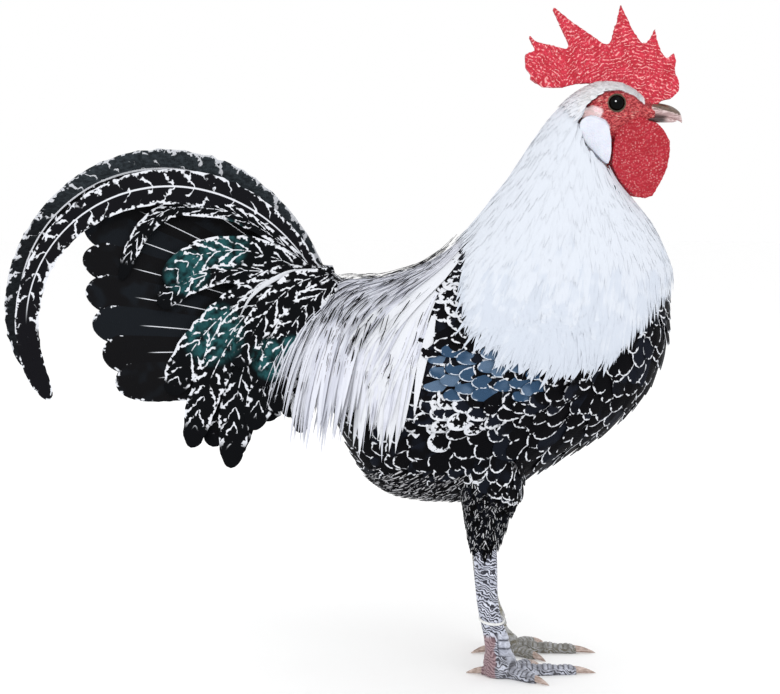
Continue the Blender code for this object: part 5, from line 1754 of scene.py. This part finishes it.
@dataclass
class Bill:
    """Upper and lower bill, as sections of x, lower and upper edge and half width, in mm."""

    upper: Table = (
        (147.4, 275.6, 279.6, 8.5), (150, 275.3, 281.8, 7.5), (152.6, 275.4, 282.5, 6.2),
        (156.5, 275.3, 282, 4.9), (160.5, 274.9, 281.2, 3.8), (164, 274, 279.6, 2.6),
        (166.6, 272.9, 277.2, 1.4), (167.5, 272.3, 274.4, 0.5),
    )
    lower: Table = (
        (148.4, 273.6, 276, 7.5), (150.2, 272.8, 276, 6.6), (152.6, 272.6, 276, 5.4),
        (156.5, 272.5, 275.9, 4.1), (160.5, 272.5, 275.4, 3), (163, 272.6, 274.6, 1.7),
        (164.8, 273.1, 274.1, 0.4),
    )

    def build(self) -> None:
        """Both halves in horn, with nostrils pressed into the upper one."""
        for name, sections in (("upper", self.upper), ("lower", self.lower)):
            mesh = mesh_of(self.half_shape(sections, name == "upper"), f"bill_{name}_horn")
            seat(dressed(mesh, self.material(name)), "bill_horn", f"bill_{name}")

    def half_shape(self, sections: Table, upper: bool) -> Shape:
        """One half, with a keel along the upper one."""
        def point(share: float, turn: float) -> Vector:
            x, low, high, width = section(sections, share * (len(sections) - 1))
            rise = cos(turn)
            out = sin(turn) * (1 - 0.25 * max(0.0, rise) ** 2 if upper else 1)
            spot = Vector((x, width * out, (low + high) / 2 + (high - low) / 2 * rise))
            if upper:
                pit = hypot((spot.x - 156.4) / 1.6, (spot.z - 279.7) / 0.7)
                spot.y *= 1 - 0.16 * ease(1.1, 0.4, pit)
            return spot * MM
        return wall(point, 60, 48)

    def material(self, name: str) -> Material:
        """Horn, brown along the ridge and pinkish white below, with darker streaks and painted shadow at the
        lower rear.
        """
        dye = Recipe(f"bill_{name}", Roughness=0.32, Specular_IOR_Level=0.5, Coat_Weight=0.2,
                     Coat_Roughness=0.2)
        place = dye.place()
        ahead, _, height = dye.axes(place)
        streak = dye.noise(dye.stretched(place, (0.22, 1.0, 1.3)), 0.8, 3.0)
        pale = dye.mix(streak, (0.78, 0.62, 0.61), (0.34, 0.2, 0.2))
        ridge = dye.mix(streak, (0.2, 0.13, 0.09), (0.06, 0.035, 0.025))
        line = dye.plus(height, dye.times(streak, 0.001))
        drop = dye.times(dye.minus(ahead, 0.15), 0.27)
        colour = dye.mix(dye.step(dye.plus(line, drop), 0.2803, 0.2818), pale, ridge)
        # The lower rear of both halves, at the mouth's corner, is darkened: painted shadow.
        low = dye.times(dye.step(line, 0.2768, 0.2756), dye.step(ahead, 0.161, 0.157))
        dye.colour(dye.mix(low, colour, (0.05, 0.028, 0.026)))
        dye.bump(streak, 0.06)
        return dye.material


@dataclass(frozen=True)
class Toe:
    """A toe by its direction outwards from straight ahead, and its sizes in mm."""

    name: str
    bearing: float
    start: float
    length: float
    width: float
    height: float
    claw: float
    raised: float = 0.0


TOES: tuple[Toe, ...] = (
    Toe("middle", -5, 2, 38, 7.4, 6.2, 10), Toe("outer", 42, 2, 22.5, 7.6, 6.2, 8),
    Toe("inner", -48, 2, 23, 7, 5.8, 8), Toe("hind", 196, 3, 9.5, 5.8, 5.4, 8, 2.0),
)
SHANK_SECTIONS: Table = (
    (66, 69.2, 6.4, 25, 5.8), (62, 69.6, 6.0, 25, 5.6), (57, 70, 5.8, 25, 5.4), (50, 70.2, 5.7, 25, 4.9),
    (38, 71, 5.3, 25, 4.6), (28, 72.9, 5.4, 25, 4.8), (20, 75.2, 6.0, 25, 5.4), (13, 76.4, 6.4, 25, 6.2),
    (6, 77.6, 8.4, 25, 7.8), (1.2, 78, 8.4, 25, 7.8), (0.0, 78, 6.8, 25, 6.4),
)
# Pale, deep and line colour of the left leg, which is duller in the photograph.
# They are a duller copy of the leg's own colours: painted shade on the far leg.
SHADED_FAR_LEG: tuple[Colour, ...] = ((0.56, 0.57, 0.6), (0.3, 0.29, 0.24), (0.17, 0.15, 0.09))


@dataclass
class Leg:
    """Scaled shank and foot of one leg, with its four claws."""

    name: str
    side: int
    pale: Colour = (0.72, 0.75, 0.86)
    deep: Colour = (0.42, 0.44, 0.53)
    line: Colour = (0.03, 0.03, 0.045)
    scute: float = 4.0
    ridge: float = 2.6
    voxel: float = 0.45

    def ground(self) -> Vector:
        """Middle of the foot on the floor, in mm."""
        return Vector((77.5 + LEG_FORWARD[self.name], self.side * 25, 0))

    def shank_shape(self) -> Shape:
        """Shank and heel."""
        def point(share: float, turn: float) -> Vector:
            z, x, length, y, width = section(SHANK_SECTIONS, share * (len(SHANK_SECTIONS) - 1))
            forward = LEG_FORWARD[self.name] * (1 - 0.75 * ease(5, 13, z) * ease(66, 56, z))
            return Vector((x + forward + length * cos(turn), self.side * y + width * sin(turn), z)) * MM
        return wall(point, 90, 40)

    def toe_axes(self, toe: Toe) -> tuple[Vector, Vector]:
        """Way ahead of a toe and its way to the side."""
        bearing = radians(toe.bearing)
        along = Vector((cos(bearing), self.side * sin(bearing), 0))
        return along, Vector((-along.y, along.x, 0))

    def toe_shape(self, toe: Toe) -> Shape:
        """One toe, flat beneath, with swollen joints."""
        along, across = self.toe_axes(toe)
        joints = max(2, round(toe.length / 9))

        def point(share: float, turn: float) -> Vector:
            slim = (1 - 0.34 * share) * (1 + 0.06 * cos(tau * (share * joints - 0.5)))
            slim *= 1 if share < 0.97 else 0.82
            rise = max(0.0, 0.42 + 0.62 * cos(turn))
            out = power(sin(turn), 0.9) * 0.5
            spot = self.ground() + along * (toe.start - 3 + (toe.length - toe.start + 3) * share)
            return (spot + across * out * toe.width * slim
                    + Vector((0, 0, rise * toe.height * slim + toe.raised * (1 - share)))) * MM
        return wall(point, 60, 32)

    def build(self) -> None:
        """Shank and foot in scales, and the claws."""
        shapes = [self.shank_shape()] + [self.toe_shape(toe) for toe in TOES]
        mesh = one_skin(shapes, f"leg_{self.name}", self.voxel, 2)
        self.raise_scales(mesh)
        seat(dressed(mesh, self.material()), "leg_scales", f"shank_{self.name}", f"foot_{self.name}")
        claws = joined([self.claw_shape(toe) for toe in TOES], f"claws_{self.name}")
        nodes = [f"claw_{self.name}_{toe.name}" for toe in TOES]
        seat(dressed(claws, self.claw_material()), "claw_horn", *nodes)

    def scale_at(self, point: Vector) -> Triple:
        """Height of a scale in mm, how near its joint is, and whether it is one of the large plates.

        Args:
            point: Where, in mm.

        Returns:
            The three numbers.
        """
        middle = self.ground()
        if point.z > 22:
            return 0.25, 0.0, 0.0
        if point.z > 11:
            share = (point.z - 11) / self.scute
            axis_x = 72 + LEG_FORWARD[self.name]
            turn = atan2(self.side * (point.y - self.side * 25), point.x - axis_x)
            if abs(turn) > 1.0:
                return 0.25, 0.0, 0.0
            phase = (share + 0.2 * cos(turn * 2)) % 1.0
            near = min(min(phase, 1 - phase) * self.scute, (1.0 - abs(turn)) * 6)
            return 0.5 * ease(0.0, 0.9, near) * (1.15 - 0.5 * phase), ease(0.75, 0.15, near), 1.0
        best = min(TOES, key=lambda toe: self.off_axis(toe, point - middle))
        along, across = self.toe_axes(best)
        ahead = (point - middle).dot(along)
        phase = (ahead / self.ridge) % 1.0
        near = min(phase, 1 - phase) * self.ridge
        top = ease(2.2, 3.6, point.z) * ease(3.4, 2.4, abs((point - middle).dot(across)))
        return 0.4 * ease(0.0, 0.7, near) * top + 0.2, ease(0.6, 0.2, near) * top, top

    def off_axis(self, toe: Toe, spot: Vector) -> float:
        """Distance of a spot from a toe's line."""
        along, across = self.toe_axes(toe)
        ahead = spot.dot(along)
        return abs(spot.dot(across)) + (0 if ahead > 0 else 9 - ahead)

    def raise_scales(self, mesh: Mesh) -> None:
        """Raise the plates and keep where they and their joints are."""
        joints, plates = [], []
        normals = [vert.normal.copy() for vert in mesh.vertices]
        for vert, normal in zip(mesh.vertices, normals):
            height, joint, plate = self.scale_at(vert.co / MM)
            if vert.co.z > 0.0006:
                vert.co += normal * (height - 0.25) * MM
            vert.co.z = max(vert.co.z, 0.0)
            joints.append(joint)
            plates.append(plate)
        keep_number(mesh, "joint", joints)
        keep_number(mesh, "plate", plates)

    def material(self) -> Material:
        """Bluish white scales with dark wavy joints, and a pinkish pad at the heel."""
        dye = Recipe(f"scales_{self.name}", Roughness=0.48, Specular_IOR_Level=0.3)
        place = dye.place()
        ahead, _, up = dye.axes(place)
        forward = LEG_FORWARD[self.name] * MM
        blotch = dye.noise(place, 4.0, 3.0)
        seam = dye.step(ahead, 0.0715 + forward, 0.0725 + forward)
        level = dye.plus(up, dye.times(ahead, 0.35))
        phase = dye.plus(dye.math("DIVIDE", level, 1.7 * MM), dye.times(dye.noise(place, 5.0, 1.0), 1.7),
                         dye.times(dye.noise(place, 1.9, 1.0), 0.55), dye.times(seam, 0.5))
        net = dye.math("ABSOLUTE", dye.minus(dye.math("FRACT", phase), 0.5))
        plate = dye.mix(blotch, self.pale, self.deep)
        scaly = dye.mix(dye.step(net, 0.3, 0.19), plate, self.line)
        large = dye.mix(dye.kept("joint"), plate, self.line)
        colour = dye.mix(dye.times(dye.kept("plate"), 0.8), scaly, large)
        heel = dye.step(dye.plus(ahead, dye.times(blotch, 0.002)), 0.0765 + forward, 0.075 + forward)
        heel = dye.times(dye.step(up, 0.022, 0.019), heel)
        pad = dye.mix(dye.step(net, 0.3, 0.12), (0.36, 0.25, 0.27), (0.17, 0.1, 0.115))
        dusk = dye.times(dye.step(up, 0.014, 0.008), dye.spread(blotch, 0.15, 0.6))
        dye.colour(dye.mix(heel, dye.mix(dusk, colour, (0.13, 0.13, 0.14)), pad))
        dye.bump(dye.step(net, 0.0, 0.3), 0.16)
        return dye.material

    def claw_shape(self, toe: Toe) -> Shape:
        """One curved claw."""
        along, across = self.toe_axes(toe)
        end = self.ground() + along * (toe.length - 1.4)

        def point(share: float, turn: float) -> Vector:
            size = max(0.04, 1.85 * (1 - share ** 1.6) ** 0.8)
            height = 2.3 - 2.0 * share ** 1.7
            return (end + along * (toe.claw + 1.4) * share + across * cos(turn) * size * 0.72
                    + Vector((0, 0, height + sin(turn) * size))) * MM
        shape = wall(point, 24, 20)
        for vert in shape.verts:
            vert.co.z = max(vert.co.z, 0.0)
        return shape

    def claw_material(self) -> Material:
        """Pinkish horn with a darker streak."""
        dye = Recipe(f"claws_{self.name}", Roughness=0.35, Specular_IOR_Level=0.5)
        streak = dye.noise(dye.stretched(dye.place(), (0.5, 0.5, 1.6)), 1.2, 3.0)
        dye.colour(dye.mix(streak, (0.62, 0.5, 0.45), (0.27, 0.19, 0.15)))
        dye.bump(streak, 0.04)
        return dye.material


@dataclass
class LegRing:
    """White band that hangs loose round the right shank."""

    middle: Triple = (73.1, -25, 28.5)
    bore: float = 5.95
    wall_thickness: float = 0.6
    height: float = 1.4
    tilt: float = 0.12
    sag: float = 0.22

    def build(self) -> None:
        """Turn a rounded section round the shank."""
        shape = bmesh.new()
        bmesh.ops.create_grid(shape, x_segments=1, y_segments=1, size=0.5)
        bmesh.ops.scale(shape, vec=(self.wall_thickness * MM, self.height * MM, 1), verts=shape.verts)
        turn_shape(shape, pi / 2, "X")
        out = Vector((self.bore + self.wall_thickness / 2, 0, 0))
        bmesh.ops.translate(shape, vec=out * MM, verts=shape.verts)
        bmesh.ops.bevel(shape, geom=shape.verts[:], affect="VERTICES", offset=self.wall_thickness / 2 * MM,
                        segments=4, profile=0.5, material=-1)
        edges = shape.edges[:]
        bmesh.ops.delete(shape, geom=shape.faces[:], context="FACES_ONLY")
        bmesh.ops.spin(shape, geom=edges, cent=Vector(), axis=Vector((0, 0, 1)), angle=tau, steps=72,
                       use_merge=True)
        bmesh.ops.remove_doubles(shape, verts=shape.verts, dist=0.000005)
        turn_shape(shape, self.tilt, "Y")
        turn_shape(shape, self.sag, "X")
        bmesh.ops.translate(shape, vec=Vector(self.middle) * MM, verts=shape.verts)
        bmesh.ops.recalc_face_normals(shape, faces=shape.faces)
        dye = Recipe("ring_white", Roughness=0.35, Specular_IOR_Level=0.5)
        dye.colour(dye.mix(dye.noise(dye.place(), 2.0, 3.0), (0.86, 0.87, 0.88), (0.74, 0.74, 0.72)))
        dye.bump(dye.noise(dye.place(), 0.4), 0.02)
        seat(dressed(mesh_of(shape, "leg_band"), dye.material), "ring_plastic", "leg_ring_right")


@dataclass
class ThighCoat:
    """Feathers of the thighs: laced scales above, and short dashed ones down to the hock."""

    seed: int = SEED + 40
    top: float = 122
    scales_end: float = 106
    hock: float = 60
    barred: Plumage = Plumage("thigh_dashed", shaft=0.22, shaft_end=0.9, shaft_gaps=0.56,
                              shaft_colour=(0.72, 0.73, 0.76), rough=0.65)

    def guide(self, name: str, side: int) -> Guide:
        """Surface of one thigh."""
        def point(place: float, turn: float) -> Vector:
            z, x, length, y, width = section(THIGH_SECTIONS, place)
            return Vector((x + LEG_FORWARD[name] + length * cos(turn),
                           side * y + width * sin(turn), z)) * MM
        return Guide(point, 0, len(THIGH_SECTIONS) - 1, 60, 60)

    def build(self, laced: Plumage) -> None:
        """Rows of feathers round both thighs, from the top down.

        Args:
            laced: Finish of the scales above.
        """
        draw = random.Random(self.seed)
        vary = draw.uniform
        scales, strands = Coat("coat_thigh_tops"), Coat("coat_thighs")
        broad = Vane(Outline.SCALE, rows=8, cup=0.16, thickness=0.3, bunch=1.6)
        fine = Vane(Outline.LANCET, rows=5, cup=0.15, thickness=0.2)
        for name, side in SIDES.items():
            guide = self.guide(name, side)
            z = self.top
            while z > self.hock:
                upper = z > self.scales_end
                count = 10 if upper else 40
                for i in range(count):
                    turn = tau * (i + draw.random()) / count
                    out = Vector((cos(turn), sin(turn), 0))
                    spot = Vector((70 + LEG_FORWARD[name], side * 25.4, z + vary(-1, 1))) * MM
                    root, _ = guide.nearest(spot + out * 40 * MM)
                    x, high = root.x / MM, root.z / MM
                    scaly = high > 108 - 0.3 * (x - 58)
                    if (not scaly and upper) or high < 61 + 0.8 * (74 + LEG_FORWARD[name] - x):
                        continue
                    heading = Vector((-0.45 if scaly else vary(-0.9, 0.5), vary(-0.15, 0.15), -1))
                    chart = (0.5 + turn / tau * 0.3 + 0.2 * side, (z - 55) / 70)
                    if scaly:
                        path, outs = guide.walk(root, heading, vary(12, 15) * MM, 8, 0, underside=-1.1)
                        scales.add(broad, lifted(path, outs, -0.6, 1.6), outs, vary(8, 10.5), chart,
                                   draw.random(), 0.0, vary(-0.1, 0.1))
                    else:
                        size = at_knots(((62, 9), (75, 9.5), (96, 12)), z) * vary(0.8, 1.2)
                        path, outs = guide.walk(root, heading, size * MM, 6, 0, underside=-1.1)
                        strands.add(fine, lifted(path, outs, -0.4, vary(0.7, 1.5)), outs,
                                    vary(2.0, 3.0), chart, draw.random(), 0.0, vary(-0.25, 0.25))
                z -= 5.2 if upper else 1.9
        scales.finish(laced, "thigh_plumage")
        strands.finish(self.barred, "thigh_plumage")


@dataclass
class Wings:
    """Folded wings: a blue band of coverts and black feathers edged with white below."""

    ground: Guide
    rows: int = 13
    ranks: int = 9
    seed: int = SEED + 50
    blue: Plumage = Plumage("wing_blue", ground=(0.035, 0.075, 0.14), shade=(0.1, 0.16, 0.25), shaded=0.5,
                            white=(0.6, 0.66, 0.75), lace=0.42, lace_gaps=0.44, rough=0.45, bump=0.05)
    dark: Plumage = Plumage("wing_black", ground=(0.0035, 0.0035, 0.0045), shade=(0.009, 0.011, 0.018),
                            shaded=0.3, lace=0.58, lace_gaps=0.42, rough=0.5)

    def build(self) -> None:
        """Rows of feathers over both wings."""
        draw = random.Random(self.seed)
        vary = draw.uniform
        vane = Vane(Outline.SCALE, rows=10, cup=0.12, thickness=0.35, bunch=1.6)
        coats = {"blue": Coat("coat_wing_blue"), "dark": Coat("coat_wing_dark")}
        for side in SIDES.values():
            for row in range(self.rows):
                x = 26 + 7.6 * row
                for k in range(self.ranks):
                    z = 115 + 6.6 * k + (3.3 if row % 2 else 0) + vary(-1, 1)
                    at = Vector((x + vary(-1.5, 1.5), side * 60, z)) * MM
                    if WING.height_at(at.x / MM, z) < 0.6:
                        continue
                    hit, _, _, _ = self.ground.tree.ray_cast(at, Vector((0, -side, 0)))
                    if hit is None or CAPE_FORM.inside(hit, -0.22) or (hit.x < 0.046 and hit.z > 0.158):
                        continue
                    band = 143 < z < 166 and 50 < at.x / MM < 102
                    size = (15 if band else 12.5) * vary(0.9, 1.15)
                    path, outs = self.ground.walk(hit, Vector((-1, 0, -0.14)), size * MM, 8, 0.0)
                    coats["blue" if band else "dark"].add(
                        vane, lifted(path, outs, -0.8, 2.0), outs, (7.4 if band else 9.0) * vary(0.9, 1.1),
                        (0.5 + side * (0.1 + 0.003 * k), 0.1 + 0.06 * row), draw.random(),
                        0.0 if band else patched(path[-2]), -side * vary(0, 0.2))
        coats["blue"].finish(self.blue, "wing_plumage")
        coats["dark"].finish(self.dark, "wing_plumage", "wing_right", "wing_left")


@dataclass(frozen=True)
class Lamp:
    """A square light: its place and its size in metres, and its power in watts."""

    name: str
    spot: Triple
    size: float
    power: float


@dataclass
class Studio:
    """Camera, floor and light, in metres. The camera stands at the photograph's angle."""

    eye: Triple = (0.023, -1.0, 0.25)
    aim: Triple = (0.023, 0, 0.161)
    sensor: float = 36
    lens: float = 36 * 1003.95 / 390
    lit: Triple = (0, 0, 0.15)
    floor_radius: float = 6
    lamps: tuple[Lamp, ...] = (
        Lamp("key", (0.6, -1.3, 1.5), 1.0, 4.5), Lamp("fill", (-1.1, -1.0, 0.9), 1.2, 1.5),
        Lamp("rim", (-0.3, 1.2, 1.3), 1.0, 3), Lamp("spark", (-0.17, -1.38, 0.8), 0.12, 1.2),
    )

    def build(self) -> None:
        """Put up the camera, a pale floor and soft lights."""
        camera = put("camera", bpy.data.cameras.new("camera"))
        camera.data.sensor_width = self.sensor
        camera.data.lens = self.lens
        self.face(camera, self.eye, self.aim)
        bpy.context.scene.camera = camera
        self.build_floor()
        for lamp in self.lamps:
            light = put(lamp.name, bpy.data.lights.new(lamp.name, "AREA"))
            light.data.size = lamp.size
            light.data.energy = lamp.power
            self.face(light, lamp.spot, self.lit)
        world = bpy.data.worlds.new("studio")
        bpy.context.scene.world = world
        world.use_nodes = True
        world.node_tree.nodes["Background"].inputs["Color"].default_value = (1, 1, 1, 1)
        world.node_tree.nodes["Background"].inputs["Strength"].default_value = 1.0
        bpy.context.scene.view_settings.view_transform = "Standard"

    def face(self, item: bpy.types.Object, spot: Triple, aim: Triple) -> None:
        """Stand a camera or a light at a spot and turn it to an aim."""
        turned = (Vector(aim) - Vector(spot)).to_track_quat("-Z", "Y").to_matrix().to_4x4()
        item.matrix_world = Matrix.Translation(spot) @ turned

    def build_floor(self) -> None:
        """A plain pale floor."""
        shape = bmesh.new()
        bmesh.ops.create_circle(shape, cap_ends=True, segments=64, radius=self.floor_radius)
        mesh = mesh_of(shape, "floor")
        dye = Recipe("pale_floor", Roughness=0.9)
        dye.colour((0.995, 0.995, 0.995))
        mesh.materials.append(dye.material)
        floor = put("floor", mesh)


def main() -> None:
    """Build the bird."""
    logging.basicConfig(level=logging.INFO, format="%(message)s", force=True)
    Studio().build()
    ground = Guide(outer_point, 0, 17)
    over = Guide(lambda place, turn: outer_point(place, turn, 2.2), 0, 18.5)
    coat = BodyCoat(ground)
    coat.build_laced()
    coat.build_fluff()
    Cape(over).build()
    Saddle(over).build()
    tail = Tail()
    tail.build_rectrices()
    tail.build_sickles()
    tail.build_coverts()
    tail.build_root()
    Wings(ground).build()
    ThighCoat().build(coat.breast)
    Skin().build()
    Crown().build()
    Eyes().build()
    Bill().build()
    for name, side in SIDES.items():
        Leg(name, side, *(SHADED_FAR_LEG if side > 0 else ())).build()
    LegRing().build()


if __name__ == "__main__":
    main()
